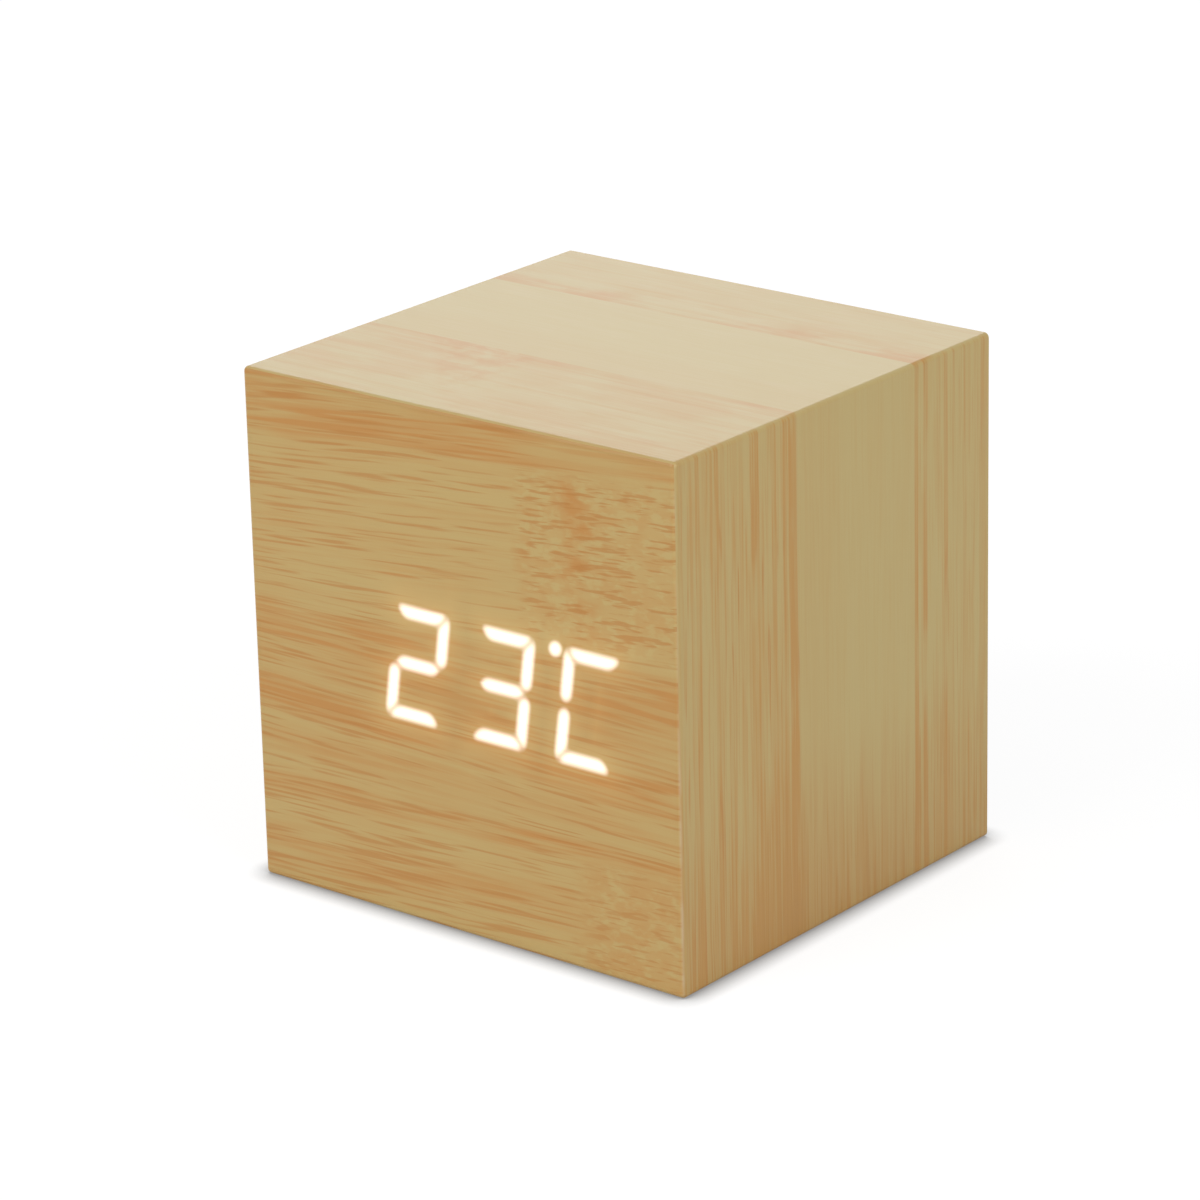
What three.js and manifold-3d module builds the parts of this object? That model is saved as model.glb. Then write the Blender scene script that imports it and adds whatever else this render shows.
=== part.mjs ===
// Cube table clock: film-covered boards folded into a cube, a four-digit light display behind the
// front film, and a moulded rear panel that carries the cells, the controls and the power socket.
// Millimetres, +Z up, the front faces -Y, the origin is the middle of the base.
import * as THREE from 'three';
import { RoundedBoxGeometry } from 'three/addons/geometries/RoundedBoxGeometry.js';
import { mergeVertices } from 'three/addons/utils/BufferGeometryUtils.js';
import Module from 'manifold-3d';

// Clearances
const glueLine = 0.03; // between boards and blocks that are glued
const seatGap = 0.1; // between a piece and what it is soldered, screwed or clipped to
const runningGap = 0.3; // around what moves, slides in or drops in
const overshoot = 1; // how far a cutting shape runs past the face it cuts

// Case boards
const filmThickness = 0.3;
const boardThickness = 4.67;
const edgeRadius = 0.6;
const edgeSteps = 3;

// Display: slanted seven-segment digits, a colon and a degree dot
const digitCount = 4;
const digitWidth = 8;
const digitHeight = 13.5;
const digitGap = 3.9;
const digitSlant = THREE.MathUtils.degToRad(8);
const segmentWidth = 1.5;
const segmentGap = 0.28;
const segmentCornerCut = 0.7;
const dotDiameter = 1.9;
const colonRise = 3;
const degreeRise = 6.1;
const degreeShift = 0.75; // from the middle of the gap towards the last digit
const displayShift = -0.35; // the digits sit a little left of the middle
const maskRim = 0.7;
const wellRearScale = 0.85; // each light well narrows towards its diode
const diffuserThickness = 0.3;
const diodeSize = [1.2, 0.6, 0.6];

// Display board and what it carries at its rear
const displayBoardThickness = 1.6;
const displayBoardRim = 0.5;
const screwStrip = 5; // board above and below the mask, for the screws
const screwInset = 2.5;
const chipSize = [10, 1.6, 4];
const chipPinCount = 8;
const chipPinWidth = 0.45;
const chipPinReach = 1;
const chipPinHeight = 0.7;
const crystalDiameter = 3;
const crystalLength = 8;
const buzzerDiameter = 12;
const buzzerHeight = 6.5;
const buzzerHoleDiameter = 2;
const buzzerHoleDepth = 1.5;
const soundSensorDiameter = 6;
const soundSensorHeight = 2.7;
const soundSensorRim = 0.6;
const soundSensorDish = 0.3;
const chipRise = -3.7; // the parts' heights from the middle of the board
const crystalRise = 5;
const buzzerRise = 2.5;

// Cells: they lie across the clock, one above the other, every second one turned round
const cellCount = 3;
const cellDiameter = 10.3;
const cellLength = 44.5;
const cellGap = 0.5;
const cellEdge = 0.5;
const nubDiameter = 3.8;
const nubHeight = 0.9;

// Cell contacts
const contactThickness = 0.3;
const contactMargin = 0.95; // from the cell's edge to the plate's edge
const dimpleDiameter = 3.4;
const dimpleHeight = 0.7;
const springWire = 0.5;
const springTurns = 2;
const springLength = 1.2;
const tabWidth = 3;
const tabLength = 4;

// Rear panel with its battery bay
const panelThickness = 2.4;
const panelRecess = 1;
const bayWall = 1;
const floorThickness = 1.2;
const bottomStrip = 7;
const bayMargin = 0.3;
const cellRoom = 0.4; // between a cell and the closed door
const cellEntry = 0.4; // the door opening is longer than a cell by this at each end
const ledgeWidth = 1;
const ledgeThickness = 0.8;
const soundSlotCount = 5;
const soundSlotSize = [1.2, 3];
const soundSlotPitch = 3;

// Battery door
const doorThickness = 1.6;
const trunnionLength = 1.2;
const trunnionWall = 0.3; // panel left around a trunnion's hole
const tongueWidth = 11;
const tongueLength = 7.5;
const tongueRise = 0.6;
const slitWidth = 0.8;
const gripCount = 4;
const gripPitch = 1.5;
const gripRadius = 0.35;
const gripMargin = 1.2;
const doorRibHeight = 1.2;
const doorRibThickness = 0.8;
const doorRibMargin = 2;

// Corner blocks and the screws
const blockWidth = 6.4;
const blockDepth = 12;
const rearScrewLength = 9;
const displayScrewLength = 4.5;
const screwDiameter = 1.8;
const screwHeadDiameter = 3.6;
const screwHeadHeight = 1;
const screwSlotWidth = 0.6;
const screwSlotLength = 2.2;
const screwSlotDepth = 0.55;

// Control board, switches and buttons
const controlBoardThickness = 1.2;
const controlBoardDepth = 16;
const boardLift = 0.7;
const railGrip = 0.8;
const railWall = 1;
const railLip = 1;
const railNib = 0.5;
const switchSize = 6;
const switchDepth = 3.5;
const switchGap = 1.6;
const switchHeadroom = 1.4;
const plungerDiameter = 3;
const plungerProud = 1;
const plungerSeat = 1.2;
const buttonNames = ['set', 'up', 'down'];
const buttonDiameter = 4.4;
const buttonProud = 0.8;
const buttonRound = 0.5;
const buttonTravel = 0.5;
const flangeOverlap = 0.7;
const flangeThickness = 0.8;
const stemDiameter = 2.4;
const stemLength = 1.2;

// Power socket and temperature sensor
const socketWidth = 7.5;
const socketHeight = 2.6;
const socketDepth = 5.6;
const socketWall = 0.3;
const socketCorner = 0.8;
const socketInset = 0.2;
const socketGap = 1.2; // from the last switch to the socket
const tongueSocketWidth = 3.8;
const tongueSocketHeight = 0.6;
const tongueSocketLength = 3.6;
const socketBaseLength = 1.2;
const sensorBeadDiameter = 2;
const sensorLegDiameter = 0.5;
const sensorLegPitch = 1.1;
const sensorHeight = 3.4;

// Wires held inside the case
const leadDiameter = 1.2;
const leadSides = 8;
const leadSteps = 20;
const leadBend = 3;
const ribbonWidth = 10;
const ribbonThickness = 0.9;
const ribbonSteps = 24;
const wiringSpace = 34.9; // between the display board and the battery bay

// Facets
const roundSides = 24;
const smallSides = 12;
const coilSides = 5;
const coilSteps = 8; // in each turn of a contact's coil
const capSteps = 3;
const weld = 1e-4;

// Sizes that follow from those above
const wall = filmThickness + glueLine + boardThickness;
const digitPitch = digitWidth + digitGap;
const slantRun = Math.tan(digitSlant);
const maskWidth = digitPitch * (digitCount - 1) + digitWidth + digitHeight * slantRun + 2 * maskRim;
const maskHeight = digitHeight + 2 * maskRim;
const displayBoardWidth = maskWidth + 2 * displayBoardRim;
const displayBoardHeight = maskHeight + 2 * screwStrip;
const displayBoardFront = wall + seatGap;
const displayBoardRear = displayBoardFront + displayBoardThickness;

const cellPitch = cellDiameter + cellGap;
const contactSize = cellDiameter - 2 * contactMargin;
const dimpleEnd = seatGap + contactThickness + dimpleHeight + seatGap;
const springEnd = seatGap + contactThickness + springLength + seatGap;
const bayHalf = (dimpleEnd + cellLength + springEnd) / 2;
const bayHeight = cellPitch * cellCount - cellGap + 2 * bayMargin;
const bayLow = bottomStrip;
const bayHigh = bayLow + bayHeight;
const bayDepth = doorThickness + cellRoom + cellDiameter + bayMargin + floorThickness;
const cellY = -doorThickness - cellRoom - cellDiameter / 2;
const openHalf = cellLength / 2 + cellEntry;

const switchPitch = switchSize + switchGap;
const controlRow = switchPitch * (buttonNames.length - 1) + switchSize + socketGap + socketWidth;
const railInner = controlRow / 2 + runningGap;
const boardHalf = railInner + railGrip;
const railOuter = boardHalf + runningGap + railWall;
const boardLow = bayHigh + bayWall + boardLift + seatGap;
const boardTop = boardLow + controlBoardThickness;
const boardRearY = -panelThickness - runningGap;
const boardFrontY = boardRearY - controlBoardDepth;
const switchAxisZ = boardTop + seatGap + switchSize / 2;
const controlTop = boardTop + seatGap + switchSize + switchHeadroom;

const cavityWidth = 2 * runningGap + Math.max(
  2 * (bayHalf + bayWall),
  displayBoardWidth + 2 * Math.abs(displayShift),
  2 * (railOuter + blockWidth),
);
const cavityHeight = Math.max(controlTop, displayBoardHeight + 2 * runningGap);
const panelHalf = cavityWidth / 2 - runningGap;

const caseWidth = cavityWidth + 2 * wall;
const caseHeight = cavityHeight + 2 * wall;
const caseDepth = displayBoardRear + wiringSpace + bayDepth + panelRecess;
const frontY = -caseDepth / 2;
const backY = caseDepth / 2;

// Finishes: colour, roughness and metalness
const finishes = {
  bamboo: { color: 0xbfa26a, roughness: 0.5, metalness: 0 },
  paleBamboo: { color: 0xd8c79c, roughness: 0.5, metalness: 0 },
  fibreboard: { color: 0x8a6a48, roughness: 0.9, metalness: 0 },
  blackPlastic: { color: 0x18181a, roughness: 0.55, metalness: 0 },
  whitePlastic: { color: 0xe8e8e4, roughness: 0.6, metalness: 0 },
  diffuser: { color: 0xf4f2ea, roughness: 0.4, metalness: 0 },
  circuitBoard: { color: 0x1f5a35, roughness: 0.45, metalness: 0 },
  steel: { color: 0xb8babd, roughness: 0.3, metalness: 1 },
  cellJacket: { color: 0x3b4650, roughness: 0.35, metalness: 0.4 },
  redWire: { color: 0xa82020, roughness: 0.5, metalness: 0 },
  blackWire: { color: 0x151515, roughness: 0.5, metalness: 0 },
  greyRibbon: { color: 0x9a9ca0, roughness: 0.5, metalness: 0 },
};

const wasm = await Module();
wasm.setup();

// A closed geometry as a solid that can be joined and cut.
function solid(geometry) {
  const bare = geometry.clone();
  bare.deleteAttribute('normal');
  bare.deleteAttribute('uv');
  const merged = mergeVertices(bare, weld);
  return new wasm.Manifold(new wasm.Mesh({
    numProp: 3,
    vertProperties: new Float32Array(merged.attributes.position.array),
    triVerts: new Uint32Array(merged.index.array),
  }));
}

// Joins geometries that overlap into one solid.
function join(...geometries) {
  return geometries.map(solid).reduce((sum, piece) => sum.add(piece));
}

// Takes a list of geometries away from a solid.
function cut(body, geometries) {
  return geometries.map(solid).reduce((rest, tool) => rest.subtract(tool), body);
}

// A solid's faces as a geometry.
function geometryOf(body) {
  const { vertProperties, triVerts, numProp } = body.getMesh();
  const geometry = new THREE.BufferGeometry();
  geometry.setAttribute('position', new THREE.BufferAttribute(vertProperties, numProp));
  geometry.setIndex(new THREE.BufferAttribute(triVerts, 1));
  geometry.computeVertexNormals();
  return geometry;
}

// One named piece with a material of its own.
function piece(name, shape, finish) {
  const geometry = shape.isBufferGeometry ? shape : geometryOf(shape);
  const mesh = new THREE.Mesh(geometry, new THREE.MeshStandardMaterial(finish));
  mesh.name = name;
  return mesh;
}

// A block between two values on each axis, given in either order.
function block(xs, ys, zs) {
  const spans = [xs, ys, zs];
  const sizes = spans.map(([from, to]) => Math.abs(to - from));
  const middles = spans.map(([from, to]) => (from + to) / 2);
  return new THREE.BoxGeometry(...sizes).translate(...middles);
}

// The span of a half width each side of a middle.
function around(middle, half) {
  return [middle - half, middle + half];
}

// The span of a half width each side of zero.
function across(half) {
  return around(0, half);
}

// Round bars along each axis.
function barX(radius, xs, y, z, sides = smallSides) {
  const [from, to] = xs;
  const bar = new THREE.CylinderGeometry(radius, radius, Math.abs(to - from), sides);
  return bar.rotateZ(Math.PI / 2).translate((from + to) / 2, y, z);
}

function barY(radius, ys, x, z, sides = smallSides) {
  const [from, to] = ys;
  const bar = new THREE.CylinderGeometry(radius, radius, Math.abs(to - from), sides);
  return bar.translate(x, (from + to) / 2, z);
}

// A solid of revolution about Y from [radius, y] pairs that run from low y to high y.
function turned(profile, sides = roundSides) {
  return new THREE.LatheGeometry(profile.map(([r, y]) => new THREE.Vector2(r, y)), sides);
}

// An outline in the XZ plane made into a prism along Y.
function prism(outline, ys) {
  const [front, rear] = ys;
  const shape = new THREE.Shape(outline.map(([x, z]) => new THREE.Vector2(x, z)));
  const geometry = new THREE.ExtrudeGeometry(shape, { depth: rear - front, bevelEnabled: false });
  return geometry.rotateX(Math.PI / 2).translate(0, rear, 0);
}

// Resizes a geometry's rear face about a point, so that its sides taper along Y.
function taperRear(geometry, scaleX, scaleZ, [x, z] = [0, 0]) {
  geometry.computeBoundingBox();
  const { min, max } = geometry.boundingBox;
  const middle = (min.y + max.y) / 2;
  const place = geometry.attributes.position;
  for (let i = 0; i < place.count; i++) {
    if (place.getY(i) > middle) {
      place.setX(i, x + (place.getX(i) - x) * scaleX);
      place.setZ(i, z + (place.getZ(i) - z) * scaleZ);
    }
  }
  return geometry;
}

// A block along Y whose sides run in at 45 degrees from its front face to its rear face.
function mitredBlock(halfX, halfZ, ys) {
  const run = ys[1] - ys[0];
  return taperRear(block(across(halfX), ys, across(halfZ)), 1 - run / halfX, 1 - run / halfZ);
}

// Case: the film-covered boards, in a frame whose Z runs from the middle of the case.
function makeCase() {
  const group = new THREE.Group();
  group.position.z = caseHeight / 2;
  const halfX = caseWidth / 2;
  const halfZ = caseHeight / 2;

  // The outside of the cube, with rounded edges except at its open back.
  const roundedDepth = caseDepth + 2 * edgeRadius;
  const rounded = new RoundedBoxGeometry(caseWidth, roundedDepth, caseHeight, edgeSteps, edgeRadius);
  rounded.translate(0, edgeRadius, 0);
  const outside = solid(rounded).intersect(solid(block(across(halfX), [frontY, backY], across(halfZ))));

  const film = mitredBlock(halfX - glueLine, halfZ - glueLine, [frontY, frontY + filmThickness]);
  group.add(piece('front_film', solid(film).intersect(outside), finishes.bamboo));

  const boardInset = filmThickness + 2 * glueLine;
  const boardSpan = [frontY + filmThickness + glueLine, frontY + wall];
  const frontBoard = mitredBlock(halfX - boardInset, halfZ - boardInset, boardSpan);
  const windowHalfX = maskWidth / 2 + runningGap;
  const windowHalfZ = maskHeight / 2 + runningGap;
  const window = block(
    around(displayShift, windowHalfX),
    [frontY, frontY + wall + overshoot],
    across(windowHalfZ),
  );
  const pilots = displayScrewSpots().map(([x, z]) => barY(
    screwDiameter / 2 + seatGap,
    [frontY + displayBoardRear - displayScrewLength - runningGap, frontY + wall + overshoot],
    displayShift + x,
    z,
  ));
  group.add(piece('front_board', cut(solid(frontBoard), [window, ...pilots]), finishes.fibreboard));

  // The four wrapped boards meet at mitres along the cube's edges.
  const outer = [[-halfX, halfZ], [halfX, halfZ], [halfX, -halfZ], [-halfX, -halfZ]];
  const inner = outer.map(([x, z]) => [x - Math.sign(x) * wall, z - Math.sign(z) * wall]);
  const frontMitre = mitredBlock(halfX + glueLine, halfZ + glueLine, [frontY, frontY + wall + glueLine]);
  ['top_board', 'right_board', 'bottom_board', 'left_board'].forEach((name, side) => {
    const next = (side + 1) % outer.length;
    const alongX = Math.sign(outer[next][0] - outer[side][0]) * glueLine;
    const alongZ = Math.sign(outer[next][1] - outer[side][1]) * glueLine;
    const start = ([x, z]) => [x + alongX, z + alongZ];
    const end = ([x, z]) => [x - alongX, z - alongZ];
    const outline = [start(outer[side]), end(outer[next]), end(inner[next]), start(inner[side])];
    const board = solid(prism(outline, [frontY, backY])).intersect(outside);
    const finish = name === 'top_board' ? finishes.paleBamboo : finishes.bamboo;
    group.add(piece(name, cut(board, [frontMitre]), finish));
  });
  return group;
}

// The corners of one digit's seven segments, unslanted, about the middle of the digit.
function segmentOutlines() {
  const half = segmentWidth / 2;
  const gap = segmentGap / (2 * Math.SQRT2);
  const right = digitWidth / 2 - half;
  const top = digitHeight / 2 - half;
  const bite = segmentCornerCut / 2;
  const bar = [
    [right - half - 2 * gap, top - half],
    [right + half - bite - gap, top + half - bite + gap],
    [right + half - 2 * bite, top + half],
    [-right - half + 2 * bite, top + half],
    [-right - half + bite + gap, top + half - bite + gap],
    [-right + half + 2 * gap, top - half],
  ];
  const upright = [
    [right - half, half + 2 * gap],
    [right, 2 * gap],
    [right + half, half + 2 * gap],
    [right + half, top + half - 2 * bite],
    [right + half - bite + gap, top + half - bite - gap],
    [right - half, top - half - 2 * gap],
  ];
  const middle = [
    [-right + 2 * gap, 0],
    [-right + half + 2 * gap, -half],
    [right - half - 2 * gap, -half],
    [right - 2 * gap, 0],
    [right - half - 2 * gap, half],
    [-right + half + 2 * gap, half],
  ];
  const flipX = outline => outline.map(([x, z]) => [-x, z]);
  const flipZ = outline => outline.map(([x, z]) => [x, -z]);
  return [bar, upright, flipZ(upright), flipZ(bar), flipX(flipZ(upright)), flipX(upright), middle];
}

// A dot's outline about a point.
function dotOutline(x, z) {
  return Array.from({ length: smallSides }, (unused, i) => {
    const angle = (2 * Math.PI * i) / smallSides;
    const radius = dotDiameter / 2;
    return [x + radius * Math.cos(angle), z + radius * Math.sin(angle)];
  });
}

// Every light well of the display: the segments of each digit, the colon and the degree dot.
function wellOutlines() {
  const slant = ([x, z]) => [x + z * slantRun, z];
  const firstDigit = (-digitPitch * (digitCount - 1)) / 2;
  const outlines = [];
  for (let digit = 0; digit < digitCount; digit++) {
    const middle = firstDigit + digit * digitPitch;
    segmentOutlines().forEach(outline => {
      outlines.push(outline.map(([x, z]) => slant([middle + x, z])));
    });
  }
  const lastGap = firstDigit + digitPitch * (digitCount - 1.5);
  const dots = [[0, colonRise], [0, -colonRise], [lastGap + degreeShift, degreeRise]];
  dots.forEach(dot => outlines.push(dotOutline(...slant(dot))));
  return outlines;
}

// The middle of an outline.
function middleOf(outline) {
  const sum = outline.reduce(([x, z], [px, pz]) => [x + px, z + pz], [0, 0]);
  return sum.map(value => value / outline.length);
}

function displayScrewSpots() {
  const x = displayBoardWidth / 2 - screwInset;
  const z = displayBoardHeight / 2 - screwInset;
  return [[-x, z], [x, z], [x, -z], [-x, -z]];
}

// A round-headed screw along Y, its head towards +Y, with y = 0 under the head.
function makeScrew(length) {
  const shank = screwDiameter / 2;
  const head = screwHeadDiameter / 2;
  const body = turned([
    [0, -length],
    [shank, -length + screwDiameter],
    [shank, 0],
    [head, 0],
    [head, screwHeadHeight / 2],
    [head - screwHeadHeight / 2, screwHeadHeight],
    [0, screwHeadHeight],
  ], smallSides);
  const recess = [screwHeadHeight - screwSlotDepth, screwHeadHeight + overshoot];
  return cut(solid(body), [
    block(across(screwSlotLength / 2), recess, across(screwSlotWidth / 2)),
    block(across(screwSlotWidth / 2), recess, across(screwSlotLength / 2)),
  ]);
}

// Display: mask, diffuser and board, in a frame at the middle of the digits on the front face.
function makeDisplay() {
  const group = new THREE.Group();
  group.position.set(displayShift, frontY, caseHeight / 2);
  const outlines = wellOutlines();

  const sheetFront = filmThickness + seatGap;
  const maskFront = sheetFront + diffuserThickness + seatGap;
  const sheet = block(
    across(maskWidth / 2),
    [sheetFront, sheetFront + diffuserThickness],
    across(maskHeight / 2),
  );
  group.add(piece('diffuser_sheet', sheet, finishes.diffuser));

  const maskBody = solid(block(across(maskWidth / 2), [maskFront, wall], across(maskHeight / 2)));
  const wells = outlines.map(outline => taperRear(
    prism(outline, [maskFront - seatGap, wall + seatGap]),
    wellRearScale,
    wellRearScale,
    middleOf(outline),
  ));
  group.add(piece('segment_mask', cut(maskBody, wells), finishes.whitePlastic));

  const plate = block(
    across(displayBoardWidth / 2),
    [displayBoardFront, displayBoardRear],
    across(displayBoardHeight / 2),
  );
  const [diodeX, diodeY, diodeZ] = diodeSize;
  const diodes = outlines.map(outline => {
    const [x, z] = middleOf(outline);
    const upright = isUpright(outline);
    const halfX = (upright ? diodeZ : diodeX) / 2;
    const halfZ = (upright ? diodeX : diodeZ) / 2;
    return block(around(x, halfX), [displayBoardFront - diodeY, displayBoardRear], around(z, halfZ));
  });
  const holes = displayScrewSpots().map(([x, z]) => barY(
    screwDiameter / 2 + seatGap,
    [displayBoardFront - overshoot, displayBoardRear + overshoot],
    x,
    z,
  ));
  group.add(piece('display_board', cut(join(plate, ...diodes), holes), finishes.circuitBoard));

  displayScrewSpots().forEach(([x, z], i) => {
    const screw = piece(`display_screw_${i + 1}`, makeScrew(displayScrewLength), finishes.steel);
    screw.position.set(x, displayBoardRear + seatGap, z);
    group.add(screw);
  });
  group.add(...makeDisplayParts());
  return group;
}

// True where an outline is taller than it is wide.
function isUpright(outline) {
  const xs = outline.map(([x]) => x);
  const zs = outline.map(([, z]) => z);
  return Math.max(...zs) - Math.min(...zs) > Math.max(...xs) - Math.min(...xs) + diodeSize[2];
}

// The parts soldered to the rear of the display board.
function makeDisplayParts() {
  const seat = displayBoardRear + seatGap;
  const column = displayBoardWidth / 4;

  const [chipX, chipY, chipZ] = chipSize;
  const pinPitch = chipX / chipPinCount;
  const pins = [];
  for (let i = 0; i < chipPinCount; i++) {
    const x = (i - (chipPinCount - 1) / 2) * pinPitch;
    pins.push(block(around(x, chipPinWidth / 2), [0, chipPinHeight], across(chipZ / 2 + chipPinReach)));
  }
  const body = block(across(chipX / 2), [chipPinHeight / 2, chipY], across(chipZ / 2));
  const chip = piece('clock_chip', join(body, ...pins), finishes.blackPlastic);
  chip.position.set(-column, seat, chipRise);

  const crystalRadius = crystalDiameter / 2;
  const crystal = piece('quartz_crystal', turned([
    [0, -crystalLength / 2],
    [crystalRadius, -crystalLength / 2],
    [crystalRadius, crystalLength / 2 - crystalRadius / 2],
    [crystalRadius / 2, crystalLength / 2],
    [0, crystalLength / 2],
  ], smallSides), finishes.steel);
  crystal.rotation.z = Math.PI / 2;
  crystal.position.set(-column, seat + crystalRadius, crystalRise);

  const buzzer = piece('alarm_buzzer', turned([
    [0, 0],
    [buzzerDiameter / 2, 0],
    [buzzerDiameter / 2, buzzerHeight],
    [buzzerHoleDiameter / 2, buzzerHeight],
    [buzzerHoleDiameter / 2, buzzerHeight - buzzerHoleDepth],
    [0, buzzerHeight - buzzerHoleDepth],
  ]), finishes.blackPlastic);
  buzzer.position.set(column, seat, buzzerRise);

  const sensorRadius = soundSensorDiameter / 2;
  const soundSensor = piece('sound_sensor', turned([
    [0, 0],
    [sensorRadius, 0],
    [sensorRadius, soundSensorHeight],
    [sensorRadius - soundSensorRim, soundSensorHeight],
    [sensorRadius - soundSensorRim, soundSensorHeight - soundSensorDish],
    [0, soundSensorHeight - soundSensorDish],
  ]), finishes.steel);
  soundSensor.position.set(0, seat, chipRise);
  return [chip, crystal, buzzer, soundSensor];
}

// The height of a cell's axis, counted from the lowest cell, and the end its nub points to.
function cellZ(index) {
  return bayLow + bayMargin + cellDiameter / 2 + index * cellPitch;
}

function nubSide(index) {
  return index % 2 === 0 ? -1 : 1;
}

// Rear panel frame: y = 0 on the panel's outer face, z = 0 on the floor of the case.
function makeRear() {
  const group = new THREE.Group();
  group.position.set(0, backY - panelRecess, wall);
  group.add(piece('rear_panel', makeRearPanel(), finishes.blackPlastic));
  group.add(piece('battery_door', makeBatteryDoor(), finishes.blackPlastic));
  group.add(...makeCornerBlocks(), ...makeCells(), ...makeContacts(), ...makeControls(), ...makeLeads());
  return group;
}

// Where the four rear screws go, with the corner block behind each.
function cornerSpots() {
  const outerX = cavityWidth / 2 - glueLine;
  const screwX = outerX - blockWidth / 2;
  const lowSpan = [glueLine, bayLow - bayWall - runningGap];
  const highSpan = [bayHigh + bayWall + runningGap, cavityHeight - glueLine];
  const spots = [];
  [['top', highSpan], ['bottom', lowSpan]].forEach(([level, zs]) => {
    [['left', -1], ['right', 1]].forEach(([hand, side]) => {
      spots.push({
        name: `${level}_${hand}`,
        x: side * screwX,
        z: (zs[0] + zs[1]) / 2,
        xs: [side * (outerX - blockWidth), side * outerX],
        zs,
      });
    });
  });
  return spots;
}

const screwSink = screwHeadHeight + seatGap;

function makeCornerBlocks() {
  const rearY = -panelThickness - seatGap;
  const pieces = [];
  cornerSpots().forEach(({ name, x, z, xs, zs }) => {
    const body = solid(block(xs, [rearY - blockDepth, rearY], zs));
    const pilot = barY(screwDiameter / 2 + seatGap, [-screwSink - rearScrewLength - runningGap, 0], x, z);
    pieces.push(piece(`corner_block_${name}`, cut(body, [pilot]), finishes.fibreboard));
    const screw = piece(`rear_screw_${name}`, makeScrew(rearScrewLength), finishes.steel);
    screw.position.set(x, -screwSink + seatGap, z);
    pieces.push(screw);
  });
  return pieces;
}

// The height and depth of the door's hinge, inside the panel's thickness.
const hingeRadius = panelThickness / 2;
const hingeY = -hingeRadius;
const hingeZ = bayLow + runningGap + hingeRadius;
const trunnionRadius = hingeRadius - trunnionWall - runningGap;

function makeRearPanel() {
  const innerY = -panelThickness;
  const throughPlate = [innerY - overshoot, overshoot];
  const plate = block(across(panelHalf), [innerY, 0], [runningGap, cavityHeight - runningGap]);
  const tub = block(
    across(bayHalf + bayWall),
    [-bayDepth, innerY / 2],
    [bayLow - bayWall, bayHigh + bayWall],
  );
  const railFrontY = boardFrontY - runningGap - railNib;
  const railTop = boardTop + seatGap + railLip;
  const rails = [-1, 1].map(side => block(
    [side * railInner, side * railOuter],
    [railFrontY, innerY / 2],
    [bayHigh + bayWall / 2, railTop],
  ));
  const shell = join(plate, tub, ...rails);

  const troughs = Array.from({ length: cellCount }, (unused, i) => barX(
    cellDiameter / 2 + bayMargin,
    across(bayHalf),
    cellY,
    cellZ(i),
    roundSides,
  ));
  const bayMouth = block(across(bayHalf), [cellY, innerY], [bayLow, bayHigh]);
  const doorway = block(across(openHalf), [cellY, overshoot], [bayLow, bayHigh]);
  const pocketFloor = cellY - contactSize / 2 - seatGap;
  const pockets = [-1, 1].map(side => block(
    [side * (bayHalf - Math.max(dimpleEnd, springEnd)), side * bayHalf],
    [pocketFloor, innerY],
    [bayLow, bayHigh],
  ));
  const tabSlots = [[nubSide(0), 0], [-nubSide(cellCount - 1), cellCount - 1]].map(([side, i]) => block(
    [side * (bayHalf - contactThickness - 2 * runningGap), side * bayHalf],
    [-bayDepth - overshoot, cellY],
    around(cellZ(i), tabWidth / 2 + runningGap),
  ));
  const trunnionHoles = barX(trunnionRadius + runningGap, across(openHalf + trunnionLength), hingeY, hingeZ);
  const latchNotch = block(
    across(tongueWidth / 2 + runningGap),
    [-doorThickness - runningGap, overshoot],
    [bayHigh - overshoot, bayHigh + tongueRise + runningGap],
  );
  const grooves = [-1, 1].map(side => block(
    [side * (railInner - overshoot), side * (boardHalf + runningGap)],
    [boardFrontY - runningGap, boardRearY + runningGap],
    [boardLow - seatGap, boardTop + seatGap],
  ));
  const grooveMouths = [-1, 1].map(side => block(
    [side * (railInner - overshoot), side * (boardHalf + runningGap)],
    [railFrontY - overshoot, boardFrontY],
    [boardLow - seatGap + controlBoardThickness / 2, boardTop + seatGap],
  ));
  const buttonHoles = switchSpots().map(x => barY(
    buttonDiameter / 2 + runningGap,
    throughPlate,
    x,
    switchAxisZ,
    roundSides,
  ));
  const socketHole = prism(socketOutline(runningGap), throughPlate).translate(socketX, 0, socketZ);
  const [slotX, slotZ] = soundSlotSize;
  const slotMiddle = (bayLow - bayWall) / 2 + runningGap;
  const soundSlots = Array.from({ length: soundSlotCount }, (unused, i) => {
    const x = (i - (soundSlotCount - 1) / 2) * soundSlotPitch;
    return block(around(x, slotX / 2), throughPlate, around(slotMiddle, slotZ / 2));
  });
  const screwHoles = cornerSpots().flatMap(({ x, z }) => [
    barY(screwDiameter / 2 + runningGap, throughPlate, x, z),
    barY(screwHeadDiameter / 2 + runningGap, [-screwSink, overshoot], x, z, roundSides),
  ]);
  const hollow = cut(shell, [
    ...troughs, bayMouth, doorway, ...pockets, ...tabSlots, trunnionHoles, latchNotch,
    ...grooves, ...grooveMouths, ...buttonHoles, socketHole, ...soundSlots, ...screwHoles,
  ]);

  // The door's top edge closes against a ledge on each side of its latch tongue.
  const ledgeY = -doorThickness - runningGap;
  const ledges = [-1, 1].map(side => block(
    [side * (tongueWidth / 2 + slitWidth + runningGap), side * (openHalf + bayWall / 2)],
    [ledgeY - ledgeThickness, ledgeY],
    [bayHigh - ledgeWidth, bayHigh + bayWall / 2],
  ));
  return ledges.map(solid).reduce((sum, ledge) => sum.add(ledge), hollow);
}

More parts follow.
